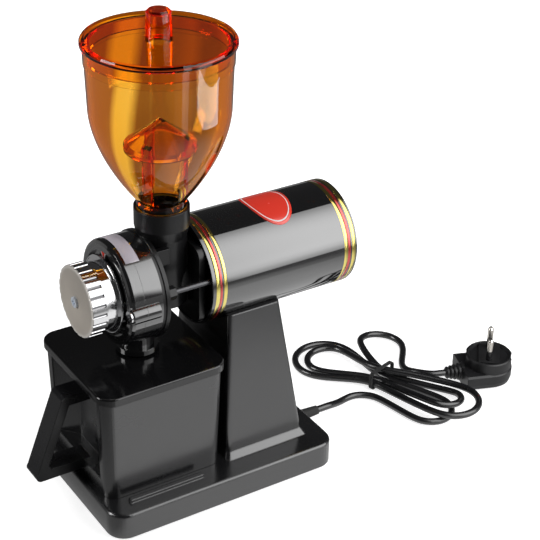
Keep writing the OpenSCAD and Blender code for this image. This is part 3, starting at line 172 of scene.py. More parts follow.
class GRINDER_PG_looks(bpy.types.PropertyGroup):
    """Colours of the grinder's finishes and sizes of its trim"""

    gloss_black: FloatVectorProperty(
        name="Gloss black", description="Enamel on the barrel and the grinding head", subtype="COLOR",
        default=(0.006, 0.006, 0.0065), min=0, max=1)
    satin_black: FloatVectorProperty(
        name="Satin black", description="Moulded black of the base and the grounds box", subtype="COLOR",
        default=(0.010, 0.010, 0.011), min=0, max=1)
    amber: FloatVectorProperty(
        name="Amber", description="Colour of the light that the hopper lets through", subtype="COLOR",
        default=(0.996, 0.84, 0.25), min=0, max=1)
    amber_depth: FloatProperty(
        name="Amber depth", description="How quickly the hopper's plastic takes up light, per metre",
        default=1320.0, min=0)
    stripe_yellow: FloatVectorProperty(
        name="Yellow stripe", description="Outer lines round the barrel", subtype="COLOR",
        default=(0.92, 0.76, 0.16), min=0, max=1)
    stripe_red: FloatVectorProperty(
        name="Red stripe", description="Middle line round the barrel", subtype="COLOR",
        default=(0.70, 0.05, 0.04), min=0, max=1)
    badge_red: FloatVectorProperty(
        name="Badge red", description="Plain oval on top of the barrel", subtype="COLOR",
        default=(0.80, 0.050, 0.030), min=0, max=1)
    badge_length: FloatProperty(
        name="Badge length", description="Length of the plain oval round the barrel", subtype="DISTANCE",
        unit="LENGTH", default=0.0528, min=0.02, max=0.06)
    badge_width: FloatProperty(
        name="Badge width", description="Width of the plain oval along the barrel", subtype="DISTANCE",
        unit="LENGTH", default=0.0325, min=0.01, max=0.04)
    cord_width: FloatProperty(
        name="Lead width", description="Diameter of the mains lead", subtype="DISTANCE", unit="LENGTH",
        default=0.0055, min=0.003, max=0.0055)


def looks():
    return bpy.context.scene.grinder_looks


# Mesh helpers, in millimetres


def add_piece(name, mesh, body, material):
    """A new object that moves with a body of the frame and takes its finish from a slot"""
    piece = bpy.data.objects.new(name, mesh)
    bpy.context.scene.collection.objects.link(piece)
    piece.data.materials.append(material)
    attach(piece, body)
    return piece


def mesh_from(name, points, faces, smooth=True, weld=False):
    """A mesh with its faces turned outwards, and with points that fall together joined if asked"""
    mesh = bpy.data.meshes.new(name)
    mesh.from_pydata([Vector(p) * MM for p in points], [], faces)
    work = bmesh.new()
    work.from_mesh(mesh)
    if weld:
        bmesh.ops.remove_doubles(work, verts=work.verts, dist=WELD_REACH)
        bmesh.ops.dissolve_degenerate(work, edges=work.edges, dist=WELD_REACH)
    bmesh.ops.recalc_face_normals(work, faces=work.faces)
    for face in work.faces:
        face.smooth = smooth
    work.to_mesh(mesh)
    work.free()
    return mesh


def barrel_point(turn, y, radius):
    """A point round the barrel's axis, 0 degrees to the right and 90 up"""
    a = math.radians(turn)
    return (radius * math.cos(a), y, AXIS_Z + radius * math.sin(a))


def ring_faces(rings, sides, closed=True):
    """Faces between rings of points that follow one another"""
    faces = []
    for i in range(rings if closed else rings - 1):
        here, there = i * sides, (i + 1) % rings * sides
        faces += [(here + k, here + (k + 1) % sides, there + (k + 1) % sides, there + k)
                  for k in range(sides)]
    return faces


def band_mesh(name, y0, y1, inner, outer, turn0, turn1, steps):
    """A band with eased edges that lies round the barrel's axis between two angles"""
    whole = abs(turn1 - turn0) >= 360
    count = steps if whole else steps + 1
    edge = min(0.25 * (outer - inner), 0.2 * abs(y1 - y0))
    profile = [(y0, inner), (y0, outer - edge), (y0 + edge, outer),
               (y1 - edge, outer), (y1, outer - edge), (y1, inner)]
    sides = len(profile)
    points = []
    for i in range(count):
        points += [barrel_point(turn0 + (turn1 - turn0) * i / steps, y, r) for y, r in profile]
    faces = ring_faces(count, sides, whole)
    if not whole:
        faces += [tuple(range(sides)), tuple(range((count - 1) * sides, count * sides))]
    return mesh_from(name, points, faces)


def bead_mesh(name, y, radius, thick):
    """A round wire bent to a ring about the barrel's axis"""
    around = [2 * math.pi * k / BEAD_SIDES for k in range(BEAD_SIDES)]
    points = []
    for i in range(RING_STEPS):
        points += [barrel_point(360 * i / RING_STEPS, y + thick * math.sin(a), radius + thick * math.cos(a))
                   for a in around]
    return mesh_from(name, points, ring_faces(RING_STEPS, BEAD_SIDES))


def turned_mesh(name, outline, y, steps, corner):
    """An outline of radius and height turned about an upright line, with edges over corner degrees kept"""
    points = []
    for i in range(steps):
        a = 2 * math.pi * i / steps
        points += [(r * math.cos(a), y + r * math.sin(a), z) for r, z in outline]
    mesh = mesh_from(name, points, ring_faces(steps, len(outline)))
    mesh.set_sharp_from_angle(angle=math.radians(corner))
    return mesh


# Node helpers


def feed(tree, socket, value):
    """Links a socket to another one, or sets it to a value"""
    if isinstance(value, bpy.types.NodeSocket):
        tree.links.new(value, socket)
    else:
        socket.default_value = value


def sums(tree, operation, *values, kind="ShaderNodeMath"):
    """The result of a sum on numbers and sockets"""
    node = tree.nodes.new(kind)
    node.operation = operation
    for socket, value in zip(node.inputs, values):
        feed(tree, socket, value)
    return node.outputs["Value"]


def vector_sums(tree, operation, *values):
    """The single number that a sum on vectors gives"""
    return sums(tree, operation, *values, kind="ShaderNodeVectorMath")


def fade(tree, value, start, end, low, high, way="SMOOTHSTEP"):
    """A change from low to high as a value goes from start to end"""
    node = tree.nodes.new("ShaderNodeMapRange")
    node.interpolation_type = way
    for socket, level in (("From Min", start), ("From Max", end), ("To Min", low), ("To Max", high)):
        node.inputs[socket].default_value = level
    tree.links.new(value, node.inputs["Value"])
    return node.outputs["Result"]


def spread(tree, cloud, low, high):
    """Low to high over the middle of a cloud, where most of its values lie"""
    return fade(tree, cloud, 0.3, 0.7, low, high, "LINEAR")


def on_object(tree):
    """Where a point lies on its object"""
    return tree.nodes.new("ShaderNodeTexCoord").outputs["Object"]


def axes(tree, place):
    """X, Y and Z of a place"""
    split = tree.nodes.new("ShaderNodeSeparateXYZ")
    tree.links.new(place, split.inputs["Vector"])
    return split.outputs


def noise(tree, scale, detail, stretch=(1, 1, 1)):
    """A cloud fixed to the object, with so many spots to a metre"""
    lay = tree.nodes.new("ShaderNodeMapping")
    lay.inputs["Scale"].default_value = stretch
    cloud = tree.nodes.new("ShaderNodeTexNoise")
    cloud.inputs["Scale"].default_value = scale
    cloud.inputs["Detail"].default_value = detail
    tree.links.new(on_object(tree), lay.inputs["Vector"])
    tree.links.new(lay.outputs["Vector"], cloud.inputs["Vector"])
    return cloud.outputs["Fac"]


def mixed(tree, share, first, second):
    """Two colours mixed by a share"""
    mix = tree.nodes.new("ShaderNodeMix")
    mix.data_type = "RGBA"
    feed(tree, mix.inputs["A"], first)
    feed(tree, mix.inputs["B"], second)
    tree.links.new(share, mix.inputs["Factor"])
    return mix.outputs["Result"]


def recolour(tree, shader, share, colour):
    """Turns a finish's colour to another one by a share"""
    socket = shader.inputs["Base Color"]
    tree.links.new(mixed(tree, share, socket.links[0].from_socket, (*colour, 1)), socket)


def relief(tree, shader, height, depth, edge=0.0):
    """Fine bumps of a depth, over edges that are eased by a radius"""
    bump = tree.nodes.new("ShaderNodeBump")
    if edge > 0:
        soft = tree.nodes.new("ShaderNodeBevel")
        soft.samples = 6
        soft.inputs["Radius"].default_value = edge
        tree.links.new(soft.outputs["Normal"], bump.inputs["Normal"])
    bump.inputs["Strength"].default_value = 0.6
    bump.inputs["Distance"].default_value = depth
    tree.links.new(height, bump.inputs["Height"])
    tree.links.new(bump.outputs["Normal"], shader.inputs["Normal"])


# Finishes


def start_material(name):
    """A new material, its tree and its shader"""
    material = bpy.data.materials.new(name)
    material.use_nodes = True
    tree = material.node_tree
    return material, tree, tree.nodes["Principled BSDF"]


def plain_finish(name, colour, rough, metal=0.0, tone=0.12, vary=0.05, grain=900.0, depth=2e-5, coat=0.0,
                 gloss=1.5, edge=0.0, stretch=(1, 1, 1)):
    """A finish whose tone and gloss drift a little, with a fine relief; its colour may be one of the looks"""
    if isinstance(colour, str):
        colour = getattr(looks(), colour)
    material, tree, shader = start_material(name)
    shader.inputs["Metallic"].default_value = metal
    shader.inputs["IOR"].default_value = gloss
    shader.inputs["Coat Weight"].default_value = coat
    shader.inputs["Coat Roughness"].default_value = 0.03
    shader.inputs["Coat IOR"].default_value = 1.8
    cloud = noise(tree, scale=28.0, detail=4.0, stretch=stretch)
    dark = [c * (1 - tone) for c in colour]
    light = [min(1.0, c * (1 + tone)) for c in colour]
    tree.links.new(mixed(tree, cloud, (*dark, 1), (*light, 1)), shader.inputs["Base Color"])
    tree.links.new(spread(tree, cloud, max(0.02, rough - vary), rough + vary), shader.inputs["Roughness"])
    relief(tree, shader, noise(tree, scale=grain, detail=2.0, stretch=stretch), depth, edge)
    return material


PLAIN = {
    "gloss_enamel": dict(colour="gloss_black", rough=0.07, vary=0.03, coat=1.0, gloss=1.9, edge=6e-4,
                         grain=200.0, depth=6e-6),
    "satin_cast": dict(colour="gloss_black", rough=0.34, gloss=1.42, edge=6e-4),
    "satin_mould": dict(colour="satin_black", rough=0.24, gloss=2.0, edge=8e-4, grain=1800.0, depth=4e-6),
    "handle_mould": dict(colour="satin_black", rough=0.27, gloss=1.45, edge=8e-4, grain=1800.0, depth=4e-6),
    "satin_base": dict(colour="satin_black", rough=0.22, gloss=2.0, edge=1.6e-3, grain=1800.0, depth=8e-6),
    "gloss_mould": dict(colour="gloss_black", rough=0.11, gloss=1.7, edge=8e-4, grain=600.0, depth=5e-6),
    "switch_plastic": dict(colour=(0.012, 0.012, 0.013), rough=0.38, edge=4e-4, grain=2400.0),
    "black_steel": dict(colour=(0.10, 0.10, 0.105), rough=0.30, metal=0.8, grain=1500.0),
    "pale_plastic": dict(colour=(0.72, 0.70, 0.66), rough=0.45, tone=0.05),
    "foot_rubber": dict(colour=(0.022, 0.022, 0.022), rough=0.72, grain=1500.0, depth=5e-5),
    "lead_jacket": dict(colour=(0.008, 0.008, 0.009), rough=0.26, gloss=1.8, grain=1200.0, depth=1.5e-5),
    "plug_rubber": dict(colour=(0.012, 0.012, 0.013), rough=0.42, edge=5e-4, grain=2200.0, depth=3e-5),
    "zinc": dict(colour=(0.62, 0.63, 0.66), rough=0.26, metal=1.0, tone=0.08, vary=0.1),
    "bright_zinc": dict(colour=(0.70, 0.76, 0.84), rough=0.30, metal=0.3, tone=0.06),
    "steel": dict(colour=(0.56, 0.56, 0.58), rough=0.32, metal=1.0, grain=500.0, stretch=(1, 6, 1)),
    "chrome": dict(colour=(0.86, 0.86, 0.87), rough=0.09, metal=1.0, tone=0.02, vary=0.04),
    "mottled_plate": dict(colour=(0.53, 0.48, 0.42), rough=0.40, metal=0.25, tone=0.30, vary=0.12,
                          grain=240.0, depth=6e-5),
    "nickel": dict(colour=(0.80, 0.76, 0.70), rough=0.16, metal=1.0, tone=0.05),
    "drawn_aluminium": dict(colour=(0.74, 0.74, 0.76), rough=0.30, metal=1.0, stretch=(8, 1, 1)),
    "copper_wire": dict(colour=(0.66, 0.27, 0.11), rough=0.34, metal=1.0),
    "stripe_yellow": dict(colour="stripe_yellow", rough=0.14, metal=1.0, tone=0.06, coat=1.0),
    "stripe_red": dict(colour="stripe_red", rough=0.14, metal=0.8, tone=0.06, coat=1.0),
    "badge_red": dict(colour="badge_red", rough=0.25, tone=0.05, coat=0.3),
    "label_white": dict(colour=(0.80, 0.79, 0.79), rough=0.32, tone=0.03),
    "silver_foil": dict(colour=(0.58, 0.54, 0.60), rough=0.34, tone=0.05, coat=0.3),
}


def head_enamel(name):
    """Gloss enamel on the drum that turns satin behind the flange"""
    material = plain_finish(name, **PLAIN["gloss_enamel"])
    tree = material.node_tree
    shader = tree.nodes["Principled BSDF"]
    y = axes(tree, on_object(tree))["Y"]
    start, end = HEAD_SATIN_Y * MM, (HEAD_SATIN_Y + HEAD_SATIN_STEP) * MM
    for socket, front, rear in (("Coat Weight", 1.0, 0.0), ("IOR", 1.9, 1.5), ("Roughness", 0.07, 0.30)):
        tree.links.new(fade(tree, y, start, end, front, rear), shader.inputs[socket])
    return material


def fluted_chrome(name):
    """Chrome with painted shade in the grooves between the knob's ribs"""
    material = plain_finish(name, **PLAIN["chrome"])
    tree = material.node_tree
    at = axes(tree, on_object(tree))
    turn = sums(tree, "ARCTAN2", sums(tree, "SUBTRACT", at["Z"], AXIS_Z * MM), at["X"])
    from_groove = sums(tree, "PINGPONG", sums(tree, "MULTIPLY", turn, FLUTES / (2 * math.pi)), 0.5)
    groove = fade(tree, from_groove, *GROOVE_EDGE, 1.0, 0.0)
    ribs = fade(tree, at["Y"], RIBS_END * MM, (RIBS_END + RIBS_STEP) * MM, 1.0, 0.0)
    share = sums(tree, "MULTIPLY", groove, ribs)
    # Painted shade: the chrome is turned grey in the grooves, along the ribs only
    recolour(tree, tree.nodes["Principled BSDF"], share, GROOVE_SHADE)
    return material


def knob_disc(name):
    """Mottled plate on the knob, with a painted highlight along its rim"""
    material = plain_finish(name, **PLAIN["mottled_plate"])
    tree = material.node_tree
    at = axes(tree, on_object(tree))
    rise = sums(tree, "SUBTRACT", at["Z"], AXIS_Z * MM)
    span = sums(tree, "ADD", sums(tree, "MULTIPLY", at["X"], at["X"]), sums(tree, "MULTIPLY", rise, rise))
    # Painted highlight: the plate turns pale towards its rim
    rim = fade(tree, sums(tree, "SQRT", span), PLATE_RIM[0] * MM, PLATE_RIM[1] * MM, 0.0, PLATE_HIGHLIGHT_SHARE)
    recolour(tree, tree.nodes["Principled BSDF"], rim, PLATE_HIGHLIGHT_COLOUR)
    return material


def pin_nickel(name):
    """Nickel pins with a dark sleeve round their feet"""
    material = plain_finish(name, **PLAIN["nickel"])
    tree = material.node_tree
    shader = tree.nodes["Principled BSDF"]
    z = axes(tree, on_object(tree))["Z"]
    start, end = SLEEVE_TOP * MM, (SLEEVE_TOP + SLEEVE_STEP) * MM
    recolour(tree, shader, fade(tree, z, start, end, 1.0, 0.0), SLEEVE_BLACK)
    tree.links.new(fade(tree, z, start, end, 0.0, 1.0), shader.inputs["Metallic"])
    return material


def amber_plastic(name, bend, coat, share):
    """Clear tinted plastic that turns red where it is thick, by its bend of light and share of the tint"""
    material, tree, shader = start_material(name)
    shader.inputs["Base Color"].default_value = (1.0, 0.97, 0.93, 1)
    shader.inputs["Transmission Weight"].default_value = 1.0
    shader.inputs["IOR"].default_value = bend
    shader.inputs["Coat Weight"].default_value = coat
    shader.inputs["Coat Roughness"].default_value = 0.02
    tint = tree.nodes.new("ShaderNodeVolumeAbsorption")
    tint.inputs["Color"].default_value = (*looks().amber, 1)
    tint.inputs["Density"].default_value = looks().amber_depth * share
    tree.links.new(tint.outputs["Volume"], tree.nodes["Material Output"].inputs["Volume"])
    cloud = noise(tree, scale=40.0, detail=3.0)
    tree.links.new(spread(tree, cloud, 0.008, 0.018), shader.inputs["Roughness"])
    relief(tree, shader, noise(tree, scale=60.0, detail=2.0), depth=1e-5)
    return material


AMBER = {
    "amber": dict(bend=1.49, coat=0.0, share=1.5),
    "amber_bowl": dict(bend=1.49, coat=0.0, share=0.58),
    "amber_lid": dict(bend=1.12, coat=1.0, share=0.9),
}
CHANGING = {"head_enamel": head_enamel, "fluted_chrome": fluted_chrome, "knob_disc": knob_disc,
            "pin_nickel": pin_nickel}
FINISHES = {}


def finish(name):
    """The finish of that name, made when it is first asked for"""
    if name not in FINISHES:
        if name in PLAIN:
            FINISHES[name] = plain_finish(name, **PLAIN[name])
        elif name in AMBER:
            FINISHES[name] = amber_plastic(name, **AMBER[name])
        else:
            FINISHES[name] = CHANGING[name](name)
    return FINISHES[name]


NODE_FINISH = {
    "gloss_enamel": ["motor_shell", "rear_cap", "front_cover", "chute_ring"],
    "head_enamel": ["grinder_body"],
    "satin_cast": ["front_end_bell"],
    "satin_mould": ["grounds_box"],
    "handle_mould": ["box_handle"],
    "satin_base": ["base_housing"],
    "gloss_mould": ["box_lid"],
    "switch_plastic": ["switch_housing", "switch_rocker", "bottom_cover", "cooling_fan"],
    "pale_plastic": ["terminal_block"],
    "foot_rubber": ["rubber_feet", "cord_gland", "cord_tie"],
    "plug_rubber": ["plug_body"],
    "zinc": ["bottom_screws", "saddle_screws", "motor_tie_bolts", "capacitor_clip"],
    "bright_zinc": ["knob_screw"],
    "black_steel": ["head_tie_rods"],
    "steel": ["stator_core", "rotor_core", "motor_shaft", "front_bearing_outer", "front_bearing_inner",
              "front_bearing_balls", "rear_bearing_outer", "rear_bearing_inner", "rear_bearing_balls",
              "feed_auger", "burr_carrier", "rotating_burr", "fixed_burr", "burr_holder", "guide_pins",
              "adjuster_stem"],
    "chrome": ["pointer_ring", "cover_screws"],
    "fluted_chrome": ["knob"],
    "knob_disc": ["knob_face"],
    "pin_nickel": ["plug_pins"],
    "drawn_aluminium": ["run_capacitor", "rear_end_bell"],
    "copper_wire": ["stator_windings"],
    "amber": ["hopper_guard"],
    "amber_bowl": ["hopper"],
    "amber_lid": ["hopper_lid"],
}


# Route of the mains lead, as in the part's source, in millimetres

LEAD_POINTS = [(12, 113.1, 8), (12, 119.1, 8), (12, 125.1, 8), (8, 136, 4), (5, 145, 2.9), (4, 153, 2.9),
               (7, 161, 2.9), (14, 168, 2.9), (25, 171, 2.9)]
PLUG_AT = Vector((23, 232, 9))
PLUG_TURN = 70.0
PLUG_WAY = Vector((math.cos(math.radians(PLUG_TURN)), math.sin(math.radians(PLUG_TURN)), 0))
TAIL_POINTS = [(-15, 216, 3), (-4, 210.5, 4), (8, 212.5, 8),
               PLUG_AT - 12 * PLUG_WAY, PLUG_AT - 6 * PLUG_WAY, PLUG_AT]
# Heading, reach, loop radius, turning way, and height going out, at the tip, coming back
LOOPS = [(10, 71, 18, 1, 2.9, 2.9, 2.9), (205, 78, 25.5, 1, 2.9, 2.9, 2.9), (24, 86, 23, 1, 9.8, 9, 8),
         (204, 68, 17.5, 1, 5, 2.9, 2.9), (24, 71, 16.5, 1, 14, 10, 3.5), (144, 69, 18, -1, 8, 3.5, 2.9)]
LOOP_ANGLES = [-105, -63, -21, 21, 63, 105]
LOOP_GROW = 6 / (4 + 2 * math.cos(math.radians(42)))
WAIST = Vector((-2, 186, 4.6))
WAIST_TURN = 16
# Offset at both ends of the waist, and row above the floor
STRANDS = [(3, 3, 0), (-9.5, -9.5, 0), (-2, 10, 1), (-3, -3, 0), (9, 9, 0)]
STRAND_RISE = 6.8
STRAND_SPAN = 10
ROUTE_STEPS = 10
LEAD_ROUND = 5


def turned(x, y, z, angle):
    """A point turned about the upright"""
    return Matrix.Rotation(math.radians(angle), 3, "Z") @ Vector((x, y, z))


def strand_at(i, x):
    """Where a strand passes the tie"""
    left, right, row = STRANDS[i]
    across = left + (right - left) * (x / STRAND_SPAN + 1) / 2
    return WAIST + turned(x, across, STRAND_RISE * row, WAIST_TURN)


def loop_points(heading, reach, radius, way, z_out, z_tip, z_back):
    """Guide points round one loop of the hank"""
    points = []
    for a in LOOP_ANGLES:
        end = z_out if a < 0 else z_back
        height = z_tip + (end - z_tip) * abs(a) / LOOP_ANGLES[-1]
        c, s = math.cos(math.radians(a)), math.sin(math.radians(a))
        along = reach - radius + LOOP_GROW * radius * c
        across = way * LOOP_GROW * radius * s
        points.append(Vector((WAIST.x, WAIST.y, 0)) + turned(along, across, height, heading))
    return points


def guide_points():
    """Guide points of the whole lead, from the strain relief to the plug"""
    points = [Vector(p) for p in LEAD_POINTS]
    for i, row in enumerate(LOOPS):
        side = 1 if i % 2 == 0 else -1
        if i > 0:
            points.append(strand_at(i - 1, side * STRAND_SPAN))
        points += loop_points(*row)
        if i < len(LOOPS) - 1:
            points.append(strand_at(i, side * STRAND_SPAN))
    return points + [Vector(p) for p in TAIL_POINTS]


def smooth_route(points, steps):
    """A smooth curve guided by points, from the first to the last"""
    first, last = 2 * points[0] - points[1], 2 * points[-1] - points[-2]
    p = [first] + points + [last]
    route = []
    for i in range(1, len(p) - 2):
        for s in range(steps):
            t = s / steps
            route.append(((1 - t) ** 3 * p[i - 1] + (3 * t ** 3 - 6 * t * t + 4) * p[i]
                          + (3 * t * t + 3 * t + 1 - 3 * t ** 3) * p[i + 1] + t ** 3 * p[i + 2]) / 6)
    return route + [points[-1]]


# Operators, one for each piece or group of like pieces


class GRINDER_OT_camera(bpy.types.Operator):
    """Camera at the photograph's place, angle and lens"""

    bl_idname = "grinder.camera"
    bl_label = "Camera"

    def execute(self, context):
        camera = bpy.data.cameras.new("photo_camera")
        camera.lens = CAMERA_LENS
        camera.sensor_width = CAMERA_SENSOR
        holder = bpy.data.objects.new("photo_camera", camera)
        context.scene.collection.objects.link(holder)
        back = CAMERA_BACK.normalized()
        up = back.cross(CAMERA_RIGHT.normalized()).normalized()
        turn = Matrix((up.cross(back), up, back)).transposed()
        holder.matrix_world = Matrix.Translation(CAMERA_AT * MM) @ turn.to_4x4()
        context.scene.camera = holder
        return {"FINISHED"}


class GRINDER_OT_lead(bpy.types.Operator):
    """Mains lead from the strain relief through its tied hank to the plug"""

    bl_idname = "grinder.lead"
    bl_label = "Mains lead"

    def execute(self, context):
        route = [p * MM for p in smooth_route(guide_points(), ROUTE_STEPS)]
        curve = bpy.data.curves.new("mains_lead", "CURVE")
        curve.dimensions = "3D"
        curve.bevel_depth = looks().cord_width / 2
        curve.bevel_resolution = LEAD_ROUND
        curve.use_fill_caps = True
        line = curve.splines.new("POLY")
        line.points.add(len(route) - 1)
        for point, place in zip(line.points, route):
            point.co = (*place, 1)
        lead = add_piece("mains_lead", curve, "base", finish("lead_jacket"))
        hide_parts("cord_lead", "cord_hank", "cord_tail")
        return {"FINISHED"}


class GRINDER_OT_finishes(bpy.types.Operator):
    """Finishes on the solids of the frame"""

    bl_idname = "grinder.finishes"
    bl_label = "Finishes"

    def execute(self, context):
        for name, nodes in NODE_FINISH.items():
            for node in nodes:
                mesh = NODES[node].data
                mesh.materials.clear()
                mesh.materials.append(finish(name))
        return {"FINISHED"}


class GRINDER_OT_bowl(bpy.types.Operator):
    """Bowl of the hopper, turned finely enough for clear plastic"""

    bl_idname = "grinder.bowl"
    bl_label = "Hopper bowl"

    def execute(self, context):
        mesh = turned_mesh("hopper_bowl", self.outline(), HOPPER_Y, BOWL_SIDES, BOWL_CORNER)
        bowl = add_piece("hopper_bowl", mesh, "bean_hopper", finish("amber_bowl"))
        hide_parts("hopper")
        return {"FINISHED"}

    def outline(self):
        """Radius and height from the spigot's foot up the outside, over the mouth and down the inside"""
        foot_z = BOWL_WAIST_Z - BOWL_REACH * (1 - BOWL_FOOT_R / BOWL_WAIST_R) ** (1 / BOWL_POWER)
        curve = []
        for i in range(BOWL_STEPS + 1):
            z = foot_z + (BOWL_WAIST_Z - foot_z) * i / BOWL_STEPS
            curve.append((BOWL_WAIST_R * (1 - ((BOWL_WAIST_Z - z) / BOWL_REACH) ** BOWL_POWER), z))
        rest_z = COLLAR_TOP + REST_GAP
        spigot = [(SPIGOT_BORE, SPIGOT_FOOT), (SPIGOT_R, SPIGOT_FOOT), (SPIGOT_R, rest_z),
                  (BOWL_FOOT_R, rest_z)]
        mouth = [(BOWL_BAND_R, BOWL_BAND_Z), (BOWL_BAND_R + BOWL_BAND_STEP, BOWL_BAND_Z),
                 (BOWL_MOUTH_R, BOWL_MOUTH_Z), (BOWL_MOUTH_R - BOWL_WALL, BOWL_MOUTH_Z)]
        inside = [(r - BOWL_WALL, z) for r, z in reversed(curve)]
        return spigot + curve + mouth + inside + [(SPIGOT_BORE, foot_z - BORE_DROP)]


class GRINDER_OT_barrel_lines(bpy.types.Operator):
    """Painted lines round both ends of the barrel"""

    bl_idname = "grinder.barrel_lines"
    bl_label = "Barrel lines"

    def execute(self, context):
        for end, lines in LINES.items():
            for number, (y0, y1, colour) in enumerate(lines):
                name = f"line_{end}_{number}_{colour}"
                mesh = band_mesh(name, y0, y1, BARREL_R - LINE_SINK, BARREL_R + LINE_RISE, 0, 360, RING_STEPS)
                add_piece(name, mesh, "base", finish("stripe_" + colour))
        return {"FINISHED"}


class GRINDER_OT_badge(bpy.types.Operator):
    """Plain red oval with a white line, laid over the top of the barrel"""

    bl_idname = "grinder.badge"
    bl_label = "Barrel badge"

    def execute(self, context):
        half = (looks().badge_length / MM / 2, looks().badge_width / MM / 2)
        for name, (outer, inner, rise, colour) in BADGE_LAYERS.items():
            mesh = self.oval(name, half, outer, inner, rise)
            add_piece(name, mesh, "base", finish(colour))
        return {"FINISHED"}

    def oval(self, name, half, outer, inner, rise):
        """An oval sheet, or an oval ring where inner isn't 0, bent round the barrel"""
        points = []
        layers = [inner + (outer - inner) * i / BADGE_RINGS for i in range(BADGE_RINGS + 1)]
        for radius in (BARREL_R + rise, BARREL_R - BADGE_SINK):
            for share in layers:
                for i in range(BADGE_STEPS):
                    a = 2 * math.pi * i / BADGE_STEPS
                    turn = 90 + math.degrees(half[0] * share * math.cos(a) / BARREL_R)
                    points.append(barrel_point(turn, BADGE_Y + half[1] * share * math.sin(a), radius))
        count = len(layers) * BADGE_STEPS
        sheet = ring_faces(len(layers), BADGE_STEPS, closed=False)
        faces = sheet + [tuple(k + count for k in face) for face in sheet]
        for ring in (BADGE_RINGS,) if inner == 0 else (0, BADGE_RINGS):
            start = ring * BADGE_STEPS
            for i in range(BADGE_STEPS):
                a, b = start + i, start + (i + 1) % BADGE_STEPS
                faces.append((a, b, b + count, a + count))
        return mesh_from(name, points, faces, weld=True)


class GRINDER_OT_head_trim(bpy.types.Operator):
    """Bright bead behind the knob, bare silver strip round the drum and red pointer in the cover's recess"""

    bl_idname = "grinder.head_trim"
    bl_label = "Head trim"

    def execute(self, context):
        bead = bead_mesh("pointer_bead", BEAD_Y, BEAD_R, BEAD_THICK)
        add_piece("pointer_bead", bead, "adjust_knob", finish("chrome"))
        strip = band_mesh("drum_strip", *STRIP_Y, DRUM_R - STRIP_SINK, DRUM_R + STRIP_RISE, *STRIP_TURN,
                          STRIP_STEPS)
        add_piece("drum_strip", strip, "base", finish("silver_foil"))
        for name, (grow, rise, colour) in MARK_LAYERS.items():
            add_piece(name, self.arrow(name, grow, rise), "base", finish(colour))
        return {"FINISHED"}

    def arrow(self, name, grow, rise):
        """A flat pointer in the recess that points at the knob"""
        outline = [MARK_MIDDLE + (Vector((x, 0, z)) - MARK_MIDDLE) * grow for x, z in MARK_CORNERS]
        points = [(v.x, COVER_FLOOR - d, v.z) for d in (rise, -MARK_SINK) for v in outline]
        faces = [(0, 1, 2), (5, 4, 3)] + [(i, (i + 1) % 3, (i + 1) % 3 + 3, i + 3) for i in range(3)]
        return mesh_from(name, points, faces, smooth=False)


